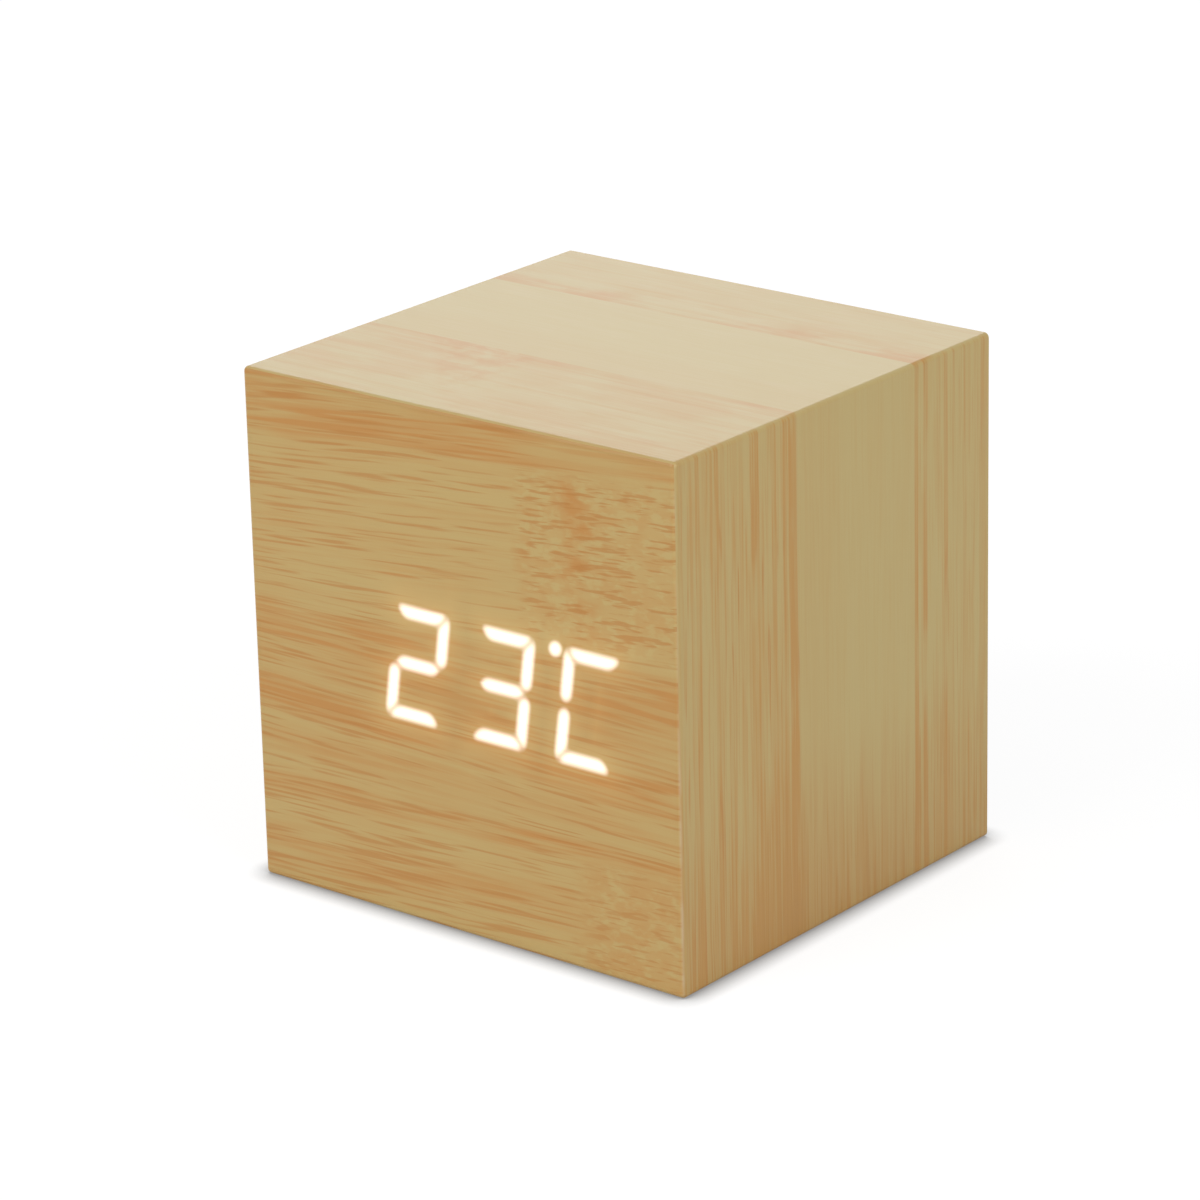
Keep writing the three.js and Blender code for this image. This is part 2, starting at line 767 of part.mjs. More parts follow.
// The battery door: a plate on a round hinge edge with trunnion pins, ribs, grips and a latch tongue.
function makeBatteryDoor() {
  const half = openHalf - runningGap;
  const top = bayHigh - runningGap;
  const plate = block(across(half), [-doorThickness, 0], [hingeZ, top]);
  const hingeEdge = barX(hingeRadius, across(half), hingeY, hingeZ, roundSides);
  const trunnions = barX(trunnionRadius, across(openHalf + trunnionLength - runningGap), hingeY, hingeZ);
  const tongue = block(
    across(tongueWidth / 2),
    [-doorThickness, 0],
    [top - tongueLength, bayHigh + tongueRise],
  );
  const ribs = Array.from({ length: cellCount - 1 }, (unused, i) => {
    const middle = (cellZ(i) + cellZ(i + 1)) / 2;
    return block(
      across(half - doorRibMargin),
      [-doorThickness - doorRibHeight, -doorThickness / 2],
      around(middle, doorRibThickness / 2),
    );
  });
  const grips = Array.from({ length: gripCount }, (unused, i) => barX(
    gripRadius,
    across(tongueWidth / 2 - gripMargin),
    0,
    top - gripMargin - i * gripPitch,
  ));
  const slits = [-1, 1].map(side => block(
    [(side * tongueWidth) / 2, side * (tongueWidth / 2 + slitWidth)],
    [-doorThickness - overshoot, overshoot],
    [top - tongueLength, top + overshoot],
  ));
  return cut(join(plate, hingeEdge, trunnions, tongue, ...ribs, ...grips), slits);
}

function makeCells() {
  const radius = cellDiameter / 2;
  const profile = [
    [0, -cellLength / 2],
    [radius - cellEdge, -cellLength / 2],
    [radius, -cellLength / 2 + cellEdge],
    [radius, cellLength / 2 - nubHeight - cellEdge],
    [radius - cellEdge, cellLength / 2 - nubHeight],
    [nubDiameter / 2, cellLength / 2 - nubHeight],
    [nubDiameter / 2, cellLength / 2],
    [0, cellLength / 2],
  ];
  return Array.from({ length: cellCount }, (unused, i) => {
    const cell = piece(`battery_cell_${i + 1}`, turned(profile), finishes.cellJacket);
    const side = nubSide(i);
    cell.rotation.z = (-side * Math.PI) / 2;
    cell.position.set((side * (springEnd - dimpleEnd)) / 2, cellY, cellZ(i));
    return cell;
  });
}

// A conical coil that winds inwards as it rises along X from a contact plate.
class ContactCoil extends THREE.Curve {
  constructor(side, z) {
    super();
    this.side = side;
    this.z = z;
  }

  getPoint(t) {
    const angle = 2 * Math.PI * springTurns * t;
    const wide = contactSize / 2 - springWire;
    const radius = THREE.MathUtils.lerp(wide, nubDiameter / 2, t);
    const plateX = bayHalf - seatGap - contactThickness;
    const rise = THREE.MathUtils.lerp(springWire / 4, springLength - springWire / 2, t);
    return new THREE.Vector3(
      this.side * (plateX - rise),
      cellY + radius * Math.cos(angle),
      this.z + radius * Math.sin(angle),
    );
  }
}

// A round section for wires.
function wireSection(diameter, sides) {
  const points = Array.from({ length: sides }, (unused, i) => {
    const angle = (2 * Math.PI * i) / sides;
    return new THREE.Vector2((diameter / 2) * Math.cos(angle), (diameter / 2) * Math.sin(angle));
  });
  return new THREE.Shape(points);
}

// Contact plates: the chain runs from the positive plate through the links to the negative plate.
function makeContacts() {
  const coil = (side, i) => new THREE.ExtrudeGeometry(wireSection(springWire, coilSides), {
    steps: coilSteps * springTurns,
    extrudePath: new ContactCoil(side, cellZ(i)),
  });
  const plateRear = bayHalf - seatGap;
  const plateFace = plateRear - contactThickness;
  const plate = (side, first, last) => block(
    [side * plateFace, side * plateRear],
    around(cellY, contactSize / 2),
    [cellZ(first) - contactSize / 2, cellZ(last) + contactSize / 2],
  );
  const dimple = (side, i) => barX(
    dimpleDiameter / 2,
    [side * plateRear, side * (plateFace - dimpleHeight)],
    cellY,
    cellZ(i),
  );
  const tab = (side, i) => block(
    [side * plateFace, side * plateRear],
    [cellY, -bayDepth - tabLength],
    around(cellZ(i), tabWidth / 2),
  );
  const last = cellCount - 1;
  const plusSide = nubSide(0);
  const minusSide = -nubSide(last);
  const positive = join(plate(plusSide, 0, 0), dimple(plusSide, 0), tab(plusSide, 0));
  const negative = join(plate(minusSide, last, last), coil(minusSide, last), tab(minusSide, last));
  const contacts = [
    piece('contact_positive', positive, finishes.steel),
    piece('contact_negative', negative, finishes.steel),
  ];
  for (let i = 0; i < last; i++) {
    const side = -nubSide(i);
    const link = join(plate(side, i, i + 1), coil(side, i), dimple(side, i + 1));
    contacts.push(piece(`contact_link_${i + 1}`, link, finishes.steel));
  }
  return contacts;
}

// Where the switches stand along X, from left to right as seen from the front.
function switchSpots() {
  return buttonNames.map((unused, i) => controlRow / 2 - switchSize / 2 - i * switchPitch);
}

const socketX = -controlRow / 2 + socketWidth / 2;
const socketZ = boardTop + seatGap + socketHeight / 2;
const flangeY = -panelThickness - seatGap - flangeThickness;
const stemY = flangeY - stemLength;
const plungerY = stemY - seatGap;
const switchRearY = plungerY - plungerProud;

// The socket's outline, with its two lower corners cut, grown by a margin.
function socketOutline(margin) {
  const x = socketWidth / 2 + margin;
  const z = socketHeight / 2 + margin;
  const cornerX = x - socketCorner;
  const cornerZ = socketCorner - z;
  return [[-x, z], [-x, cornerZ], [-cornerX, -z], [cornerX, -z], [x, cornerZ], [x, z]];
}

// Control board with its switches, buttons, socket and sensor.
function makeControls() {
  const board = block(across(boardHalf), [boardFrontY, boardRearY], [boardLow, boardTop]);
  const controls = [piece('control_board', board, finishes.circuitBoard)];
  const standing = boardTop + seatGap;

  const body = block(
    across(switchSize / 2),
    [switchRearY - switchDepth, switchRearY],
    across(switchSize / 2),
  );
  const boreEnd = switchRearY - plungerSeat - buttonTravel - runningGap;
  const bore = barY(plungerDiameter / 2 + runningGap, [boreEnd, switchRearY + overshoot], 0, 0, roundSides);
  const plunger = turned([
    [0, switchRearY - plungerSeat],
    [plungerDiameter / 2, switchRearY - plungerSeat],
    [plungerDiameter / 2, plungerY],
    [0, plungerY],
  ]);
  const radius = buttonDiameter / 2;
  const capCorner = Array.from({ length: capSteps + 1 }, (unused, step) => {
    const angle = ((step / capSteps) * Math.PI) / 2;
    return [
      radius - buttonRound + buttonRound * Math.cos(angle),
      buttonProud - buttonRound + buttonRound * Math.sin(angle),
    ];
  });
  const cap = turned([
    [0, stemY],
    [stemDiameter / 2, stemY],
    [stemDiameter / 2, flangeY],
    [radius + flangeOverlap, flangeY],
    [radius + flangeOverlap, flangeY + flangeThickness],
    [radius, flangeY + flangeThickness],
    ...capCorner,
    [0, buttonProud],
  ]);
  buttonNames.forEach((name, i) => {
    const pieces = [
      piece(`${name}_switch`, cut(solid(body), [bore]), finishes.steel),
      piece(`${name}_plunger`, plunger.clone(), finishes.blackPlastic),
      piece(`${name}_button`, cap.clone(), finishes.blackPlastic),
    ];
    pieces.forEach(mesh => mesh.position.set(switchSpots()[i], 0, switchAxisZ));
    controls.push(...pieces);
  });

  const mouthY = -socketInset;
  const endY = mouthY - socketDepth;
  const shell = cut(solid(prism(socketOutline(0), [endY, mouthY])), [
    prism(socketOutline(-socketWall), [endY + socketWall, mouthY + overshoot]),
  ]);
  const base = prism(socketOutline(-socketWall - seatGap), [
    endY + socketWall + seatGap,
    endY + socketWall + seatGap + socketBaseLength,
  ]);
  const tongue = block(
    across(tongueSocketWidth / 2),
    [endY + 2 * socketWall, endY + socketWall + socketBaseLength + tongueSocketLength],
    across(tongueSocketHeight / 2),
  );
  const socket = [
    piece('socket_shell', shell, finishes.steel),
    piece('socket_tongue', join(base, tongue), finishes.blackPlastic),
  ];
  socket.forEach(mesh => mesh.position.set(socketX, 0, socketZ));

  const bead = new THREE.SphereGeometry(sensorBeadDiameter / 2, smallSides, smallSides / 2);
  const legLength = sensorHeight - sensorBeadDiameter / 2;
  const legs = [-1, 1].map(side => new THREE.CylinderGeometry(
    sensorLegDiameter / 2,
    sensorLegDiameter / 2,
    legLength,
    smallSides / 2,
  ).rotateX(Math.PI / 2).translate((side * sensorLegPitch) / 2, 0, -legLength / 2));
  const sensor = piece('temperature_sensor', join(bead, ...legs), finishes.whitePlastic);
  sensor.position.set(socketX, boardFrontY + sensorHeight, standing + legLength);
  controls.push(...socket, sensor);
  return controls;
}

// The two leads from the contact tabs up to the underside of the control board.
function makeLeads() {
  const y = -bayDepth - tabLength / 2;
  const route = (side, i) => {
    const start = bayHalf - seatGap - contactThickness - seatGap;
    const rise = railInner - leadDiameter;
    const end = boardLow - seatGap;
    const points = [
      [start, cellZ(i)],
      [start - leadBend, cellZ(i)],
      [rise + leadBend, cellZ(i) + leadBend / 3],
      [rise + leadBend / 4, cellZ(i) + leadBend],
      [rise, end - leadBend],
      [rise, end],
    ];
    return new THREE.CatmullRomCurve3(points.map(([x, z]) => new THREE.Vector3(side * x, y, z)));
  };
  const lead = (name, side, i, finish) => piece(name, new THREE.ExtrudeGeometry(
    wireSection(leadDiameter, leadSides),
    { steps: leadSteps, extrudePath: route(side, i) },
  ), finish);
  const last = cellCount - 1;
  return [
    lead('lead_positive', nubSide(0), 0, finishes.redWire),
    lead('lead_negative', -nubSide(last), last, finishes.blackWire),
  ];
}

// The flat ribbon from the display board to the control board: its side view, made as wide as it is.
function makeRibbon() {
  const startY = frontY + displayBoardRear + seatGap;
  const startZ = caseHeight / 2 + maskHeight / 2 + ribbonThickness;
  const endY = backY - panelRecess + boardFrontY + ribbonThickness;
  const endZ = wall + boardLow - seatGap;
  const route = new THREE.SplineCurve([
    [startY, startZ],
    [startY + 3, startZ],
    [startY + 9, startZ - 1.5],
    [endY - 7, endZ - 8],
    [endY - 1.5, endZ - 5.5],
    [endY, endZ - 2.5],
    [endY, endZ],
  ].map(([y, z]) => new THREE.Vector2(y, z)));
  const edge = offset => Array.from({ length: ribbonSteps + 1 }, (unused, i) => {
    const t = i / ribbonSteps;
    const { x: y, y: z } = route.getPointAt(t);
    const along = route.getTangentAt(t);
    return new THREE.Vector2(y - along.y * offset, z + along.x * offset);
  });
  const outline = new THREE.Shape([...edge(-ribbonThickness / 2), ...edge(ribbonThickness / 2).reverse()]);
  const geometry = new THREE.ExtrudeGeometry(outline, { depth: ribbonWidth, bevelEnabled: false });
  const ribbon = piece('ribbon_cable', geometry, finishes.greyRibbon);
  ribbon.rotation.set(Math.PI / 2, Math.PI / 2, 0);
  ribbon.position.x = -ribbonWidth / 2;
  return ribbon;
}

const clock = new THREE.Group();
clock.name = 'cube_clock';
clock.add(makeCase(), makeDisplay(), makeRear(), makeRibbon());

export default clock;
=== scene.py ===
"""Looks of the cube table clock: printed bamboo film, glowing digits, moulded back, cells and wiring.

Lengths in the properties are metres, in the frame of the packed model: +Z up, the front faces -Y.
Finishes work in millimetres, on Object coordinates.
"""

import math

import bmesh
import bpy
from mathutils import Matrix, Quaternion, Vector


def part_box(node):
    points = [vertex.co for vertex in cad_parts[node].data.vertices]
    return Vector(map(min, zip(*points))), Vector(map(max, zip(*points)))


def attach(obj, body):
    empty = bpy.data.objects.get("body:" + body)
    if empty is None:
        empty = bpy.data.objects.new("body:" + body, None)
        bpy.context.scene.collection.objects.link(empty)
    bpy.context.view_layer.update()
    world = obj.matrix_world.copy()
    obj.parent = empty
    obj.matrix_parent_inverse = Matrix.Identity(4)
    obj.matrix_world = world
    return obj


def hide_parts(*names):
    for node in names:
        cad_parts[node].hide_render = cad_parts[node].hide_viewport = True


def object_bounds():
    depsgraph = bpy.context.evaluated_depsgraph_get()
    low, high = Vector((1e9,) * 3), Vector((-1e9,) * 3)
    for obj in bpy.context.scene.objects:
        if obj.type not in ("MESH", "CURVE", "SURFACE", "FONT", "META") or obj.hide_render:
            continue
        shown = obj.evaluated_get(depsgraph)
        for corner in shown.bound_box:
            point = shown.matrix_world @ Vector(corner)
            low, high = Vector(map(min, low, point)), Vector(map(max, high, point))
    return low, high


bl_info = {
    "name": "Cube Table Clock",
    "version": (1, 0, 0),
    "blender": (4, 5, 0),
    "location": "3D View > Sidebar > Clock",
    "description": "Dresses a cube table clock in bamboo film, with lit digits and a moulded back",
    "category": "Object",
}

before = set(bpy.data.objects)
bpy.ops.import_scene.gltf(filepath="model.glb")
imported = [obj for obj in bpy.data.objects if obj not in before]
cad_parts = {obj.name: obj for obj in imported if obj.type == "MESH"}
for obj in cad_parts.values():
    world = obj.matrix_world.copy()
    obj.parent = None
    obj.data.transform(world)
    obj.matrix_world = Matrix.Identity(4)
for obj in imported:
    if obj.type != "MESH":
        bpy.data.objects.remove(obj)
CAD_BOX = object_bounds()

MM = 1000  # millimetres in a metre
CASE = "case"
DOOR = "battery_door"
BUTTONS = ("set", "up", "down")
CORNERS = ("top_left", "top_right", "bottom_left", "bottom_right")
FULL_TURN = 2 * math.pi
ROUND_STEPS = 48  # faces round a turned shape
SHARP = math.radians(35)  # edges sharper than this are shaded sharp
FLAT = math.radians(1)  # faces that meet at less than this are one face
MERGE = 1e-6  # corners closer than this are one
UP = Vector((0, 0, 1))
BACKWARD = Vector((0, 1, 0))
SIDEWAYS = Vector((1, 0, 0))

GLUE_LINE = 0.00003  # left beside each mitre of the case
MITRE_LEAN = 0.5  # a mitre's normal has more than this along two axes
RAW_ROUGHNESS = 0.88  # of fibreboard where it is cut
PLATE = 0.0016  # thickness of the display board's laminate
DISH_STEPS = 5  # rings of a button's dished top
RING_BORE = 0.68  # of the ring mark's radius
CRIMP = 0.00035  # height of the crimps at a cell's ends
SCREW_TURN = math.radians(37)  # each screw stops at another angle
SCREW_HEAD = 0.001  # height of a screw's head
SCREW_ROUND = 0.0005  # rounding of its rim
THREAD_PITCH = 0.0007
THREAD_ROOT = 0.74  # of the shank's radius
CROSS_REACH = 0.00105  # half the length of a slot
CROSS_HALF = 0.0003  # half its width
CROSS_DEPTH = 0.00055
CROSS_TAPER = 0.7  # how far the slots narrow to their floor

# Sizes of finishes, in millimetres.
TRACK_PITCH = 1.1  # from lane to lane of the copper tracks
PAD_PITCH = 2.2  # from pad to pad along a lane
RIBBON_PITCH = 1.0  # from wire to wire in the ribbon cable
FILM_TURN = 1.0  # how far back from the front the film is turned in over the boards' edges
JACKET_LAP = 0.8  # how far a cell's jacket is folded over its ends
STRIPE_GAP = 1.2  # between the band on a jacket and the thin stripe beside it
STRIPE = 0.4  # width of that stripe
PLUS_REACH = 1.35  # half the length of the plus sign's bars
PLUS_HALF = 0.3  # half their width

SENSOR = 36  # width of the camera's sensor, in millimetres
LAMPS = {  # the sides of each lamp, and where it stands
    "key": (0.7, Vector((-0.3, -0.9, 0.7))),
    "fill": (0.6, Vector((0.9, -0.1, 0.6))),
    "back": (0.5, Vector((-0.6, 0.73, 0.37))),
}
FLOOR_REACH = 3.0  # from the middle of the floor to its sides
FLOOR_TONE = (0.8, 0.8, 0.8)
FLOOR_CONTACT = 0.0029  # how far the contact shadow reaches
CONTACT_GAIN = 1.53  # brightness of the lifted floor: this times the open sky, plus an offset
CONTACT_OFFSET = -0.385
CONTACT_DARKEST = 0.32  # that brightness right at the case

case_low, case_high = CAD_BOX
case_middle = (case_high + case_low) / 2
mask_low, mask_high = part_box("segment_mask")
panel_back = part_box("rear_panel")[1].y
door_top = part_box("battery_door")[1].z


def length(name, description, default):
    """A size in metres that a user may set."""
    return bpy.props.FloatProperty(
        name=name, description=description, default=default, min=0, precision=5, unit="LENGTH"
    )


def portion(name, description, default):
    """A share from 0 to 1 that a user may set."""
    return bpy.props.FloatProperty(
        name=name, description=description, default=default, min=0, max=1, subtype="FACTOR"
    )


def angle(name, description, default):
    """An angle, given in degrees, that a user may set."""
    return bpy.props.FloatProperty(
        name=name, description=description, default=math.radians(default), subtype="ANGLE"
    )


def colour(name, description, default):
    """A linear colour that a user may set."""
    return bpy.props.FloatVectorProperty(
        name=name, description=description, default=default, min=0, max=1, subtype="COLOR"
    )


def spot(name, description, default):
    """A place in the frame, in metres, that a user may set."""
    return bpy.props.FloatVectorProperty(
        name=name, description=description, default=default, precision=4, subtype="TRANSLATION"
    )


def power(name, description, default):
    """A lamp's power that a user may set."""
    return bpy.props.FloatProperty(
        name=name, description=description, default=default, min=0, unit="POWER"
    )


class ClockFilm(bpy.types.PropertyGroup):
    """The printed bamboo film on the case."""

    pale: colour("Pale", "Ground colour of the print on the front", (0.496, 0.349, 0.124))
    salmon: colour("Salmon", "Broad streaks of the print on the front", (0.483, 0.229, 0.05))
    dash: colour("Dash", "Thin dashes of the print", (0.44, 0.182, 0.027))
    # The foot tint is painted shade on the front's top edge, and print with painted shade at the right side's
    # foot.
    foot: colour("Foot", "Brown tint at the right side's foot and the front's top edge", (0.35, 0.17, 0.03))
    wrap_pale: colour("Wrap pale", "Ground colour of the print on the wrap", (0.477, 0.366, 0.142))
    wrap_salmon: colour("Wrap salmon", "Streaks of the print on the wrap", (0.464, 0.246, 0.056))
    thickness: length("Thickness", "Film on the boards, seen on their cut edges", 0.0003)
    front_strip: length("Front strip", "Width of the bamboo strip next to the front", 0.021)
    middle_strip: length("Middle strip", "Width of the plain strip beside it", 0.0212)
    roughness: portion("Roughness", "Satin of the film", 0.42)
    # The pale upright edges are partly wear and partly a painted highlight of the rounded edges.
    edge: colour("Edge", "Film rubbed pale on the upright edges", (0.6, 0.5, 0.36))
    wear: portion("Wear", "How far the film is rubbed there", 0.6)


class ClockLight(bpy.types.PropertyGroup):
    """The digits that shine through the front film."""

    pitch: length("Pitch", "From one digit to the next", 0.0119)
    width: length("Width", "A digit's width", 0.008)
    height: length("Height", "A digit's height", 0.0135)
    aside: length("Aside", "From the middle of the mask to the middle of the figures", 0.00034)
    lift: length("Lift", "From the middle of the mask up to the middle of the figures", 0.0002)
    segment: length("Segment", "A segment's width", 0.00158)
    gap: length("Gap", "Between two segments", 0.0001)
    corner: length("Corner", "Cut off a digit's outer corners", 0.0007)
    dot: length("Dot", "Diameter of the degree dot", 0.0017)
    dot_shift: length("Dot shift", "From the middle of the gap to the last digit", 0.00075)
    dot_rise: length("Dot rise", "From the middle of the digits", 0.0061)
    slant: angle("Slant", "Lean of the digits", 8)
    lit: colour("Lit", "Colour of the light", (1.0, 0.97, 0.93))
    glow: colour("Glow", "Light that spreads in the film", (0.11, 0.06, 0.022))
    reach: length("Reach", "How far the glow spreads", 0.0016)


class ClockBack(bpy.types.PropertyGroup):
    """The moulded back, its buttons and its marks."""

    plastic: colour("Plastic", "Colour of the moulded back", (0.017, 0.017, 0.018))
    button: colour("Button", "Colour of the buttons", (0.03, 0.03, 0.032))
    edge: length("Edge", "Rounding of the moulded edges", 0.0001)
    cap: length("Cap", "Diameter of a button", 0.0044)
    rim: length("Rim", "Rounding of a button's rim", 0.0005)
    dish: length("Dish", "How far a button's top is dished", 0.00022)
    stem: length("Stem", "Length and radius of a button's stem", 0.0012)
    flange: length("Flange", "Thickness of a button's flange", 0.0008)
    mark: length("Mark", "Radius of the moulded marks under the buttons", 0.0008)
    mark_rise: length("Mark rise", "Height of the moulded marks", 0.0002)
    arrow: length("Arrow", "Radius of the moulded arrow on the door", 0.0018)
    arrow_drop: length("Arrow drop", "From the door's top to the arrow", 0.0112)


class ClockCells(bpy.types.PropertyGroup):
    """The cells in the battery bay."""

    jacket: colour("Jacket", "Colour of the cells' jackets", (0.06, 0.09, 0.13))
    band: colour("Band", "Colour of the band at the positive end", (0.55, 0.56, 0.58))
    band_length: length("Band length", "Length of that band", 0.0085)
    nub: length("Nub", "Radius of the positive nub", 0.0019)
    nub_height: length("Nub height", "Height of the positive nub", 0.0009)


class ClockStage(bpy.types.PropertyGroup):
    """Camera, lamps and floor."""

    camera: spot("Camera", "Where the camera stands", (0.33584, -0.41514, 0.22152))
    aim: spot("Aim", "What the camera looks at", (-0.003326, 0.000064, 0.030052))
    roll: angle("Roll", "Turn about the view", -1.3665)
    lens: bpy.props.FloatProperty(
        name="Lens", description="Focal length", default=152.21, min=1, unit="CAMERA"
    )
    key: power("Key", "Lamp in front, to the left", 6.5)
    fill: power("Fill", "Lamp on the right", 4.4)
    back: power("Back", "Lamp behind, which the top reflects", 1.32)
    ambient: portion("Ambient", "Light from all around", 0.42)
    floor_glow: portion("Floor glow", "How far the floor is lifted to white", 0.75)


class Value:
    """A shader socket. Python's operators on it add Math nodes."""

    def __init__(self, finish, socket):
        self.finish = finish
        self.socket = socket

    def __add__(self, other):
        return self.finish.maths("ADD", self, other)

    def __radd__(self, other):
        return self.finish.maths("ADD", other, self)

    def __sub__(self, other):
        return self.finish.maths("SUBTRACT", self, other)

    def __rsub__(self, other):
        return self.finish.maths("SUBTRACT", other, self)

    def __mul__(self, other):
        return self.finish.maths("MULTIPLY", self, other)

    def __rmul__(self, other):
        return self.finish.maths("MULTIPLY", other, self)

    def __truediv__(self, other):
        return self.finish.maths("DIVIDE", self, other)

    def __neg__(self):
        return self.finish.maths("MULTIPLY", self, -1)

    def __abs__(self):
        return self.finish.maths("ABSOLUTE", self)

    def __pow__(self, other):
        return self.finish.maths("POWER", self, other)

    def most(self, other):
        """The greater of two values."""
        return self.finish.maths("MAXIMUM", self, other)

    def least(self, other):
        """The smaller of two values."""
        return self.finish.maths("MINIMUM", self, other)

    def rounded_most(self, other, radius):
        """The greater of two values, rounded where they meet."""
        return self.finish.maths("SMOOTH_MAX", self, other, radius)

    def rounded_least(self, other, radius):
        """The smaller of two values, rounded where they meet."""
        return self.finish.maths("SMOOTH_MIN", self, other, radius)

    def above(self, low, high):
        """0 up to low, 1 from high, eased between them."""
        settings = {"interpolation_type": "SMOOTHSTEP"}
        sockets = {"Value": self, "From Min": low, "From Max": high}
        return self.finish.node("ShaderNodeMapRange", settings, sockets)

    def beyond(self, edge, soft):
        """0 up to an edge and 1 from there, eased over that much on either side of it."""
        return self.above(edge - soft, edge + soft)

    def below(self, edge, soft):
        """1 up to an edge and 0 from there, eased the same way."""
        return 1 - self.beyond(edge, soft)

    def between(self, low, high, soft):
        """1 from low to high, with soft edges."""
        return self.beyond(low, soft) * self.below(high, soft)


class Finish:
    """The node tree of one material or world, built from its coordinates to its output."""

    def __init__(self, owner):
        owner.use_nodes = True
        self.owner = owner
        self.tree = owner.node_tree
        self.tree.nodes.clear()

    def node(self, kind, settings, sockets, result=0):
        """Adds a node: its settings first, then the values or links of its sockets."""
        made = self.tree.nodes.new(kind)
        for name, setting in settings.items():
            setattr(made, name, setting)
        for name, value in sockets.items():
            socket = made.inputs[name]
            if isinstance(value, Value):
                self.tree.links.new(value.socket, socket)
            elif socket.type == "RGBA":
                socket.default_value = (*value, 1)
            else:
                socket.default_value = value
        return Value(self, made.outputs[result]) if made.outputs else None

    def maths(self, operation, *values):
        """What a Math node makes of these values."""
        return self.node("ShaderNodeMath", {"operation": operation}, dict(enumerate(values)))

    def mix(self, amount, first, second):
        """A colour between two others."""
        settings = {"data_type": "RGBA", "clamp_factor": True}
        return self.node("ShaderNodeMix", settings, {0: amount, 6: first, 7: second}, 2)

    def shade(self, tone, amount):
        """A colour times a value."""
        return self.node("ShaderNodeVectorMath", {"operation": "SCALE"}, {0: tone, "Scale": amount})

    def both(self, first, second):
        """Two colours added."""
        return self.node("ShaderNodeVectorMath", {"operation": "ADD"}, {0: first, 1: second})

    def place(self):
        """X, Y and Z of the piece, in millimetres."""
        where = self.node("ShaderNodeTexCoord", {}, {}, "Object")
        split = self.node("ShaderNodeSeparateXYZ", {}, {"Vector": where}).socket.node
        return [Value(self, socket) * MM for socket in split.outputs]

    def point(self, x, y, z):
        """A place made of three values."""
        return self.node("ShaderNodeCombineXYZ", {}, {"X": x, "Y": y, "Z": z})

    def noise(self, where, detail=2.0):
        """A cloudy value about 0.5 at a place, with lumps of about size 1."""
        sockets = {"Vector": where, "Scale": 1.0, "Detail": detail, "Roughness": 0.5}
        return self.node("ShaderNodeTexNoise", {}, sockets, "Fac")

    def grain(self, along, across, long, wide, seed, detail=2.0):
        """Noise drawn out into streaks of about that length and width."""
        return self.noise(self.point(along / long, across / wide, seed), detail)

    def speckle(self, size, seed=0.0, detail=2.0):
        """Noise of that grain size, alike in every direction."""
        x, y, z = self.place()
        return self.noise(self.point(x / size + seed, y / size, z / size), detail)

    def relief(self, height, depth):
        """A normal bumped by a height from 0 to 1, over that depth in millimetres."""
        return self.node("ShaderNodeBump", {}, {"Distance": depth / MM, "Height": height}, "Normal")

    def seen(self):
        """1 for rays that show the background: straight, mirrored or through glass."""
        names = ("Is Camera Ray", "Is Glossy Ray", "Is Transmission Ray")
        camera, glossy, through = (self.node("ShaderNodeLightPath", {}, {}, name) for name in names)
        return camera.most(glossy).most(through)

    def surface(self, sockets):
        """Ends a material in its shader and returns the material."""
        shader = self.node("ShaderNodeBsdfPrincipled", {}, {"IOR": 1.5, **sockets})
        self.node("ShaderNodeOutputMaterial", {}, {"Surface": shader})
        return self.owner

    def clouded(self, amount, first, second, roughness, grit, depth):
        """Ends a material that shades from one colour into another, over a fine grit."""
        tone = self.mix(amount, first, second)
        bump = self.relief(grit, depth)
        return self.surface({"Base Color": tone, "Roughness": roughness, "Normal": bump})


def material(build, *given, name=None):
    """The material of that name or its builder's, built the first time that it is asked for."""
    name = name or build.__name__
    found = bpy.data.materials.get(name)
    return found or build(Finish(bpy.data.materials.new(name)), *given)


def scaled(tone, amount):
    """A colour from the properties, made darker or brighter."""
    return tuple(part * amount for part in tone)


def fibreboard_tone(finish):
    """Felted brown fibres, with dark flecks. Gives the colour and the flecks."""
    coarse = finish.speckle(1.6, seed=3.1)
    fine = finish.speckle(0.25, seed=8.4)
    ground = finish.mix(coarse.above(0.3, 0.7), (0.27, 0.165, 0.085), (0.36, 0.235, 0.13))
    return finish.mix(fine.above(0.55, 0.8) * 0.6, ground, (0.16, 0.09, 0.045)), fine


def raw_fibreboard(finish):
    """The front board and the corner blocks."""
    tone, fleck = fibreboard_tone(finish)
    bump = finish.relief(fleck, depth=0.06)
    return finish.surface({"Base Color": tone, "Roughness": RAW_ROUGHNESS, "Normal": bump})


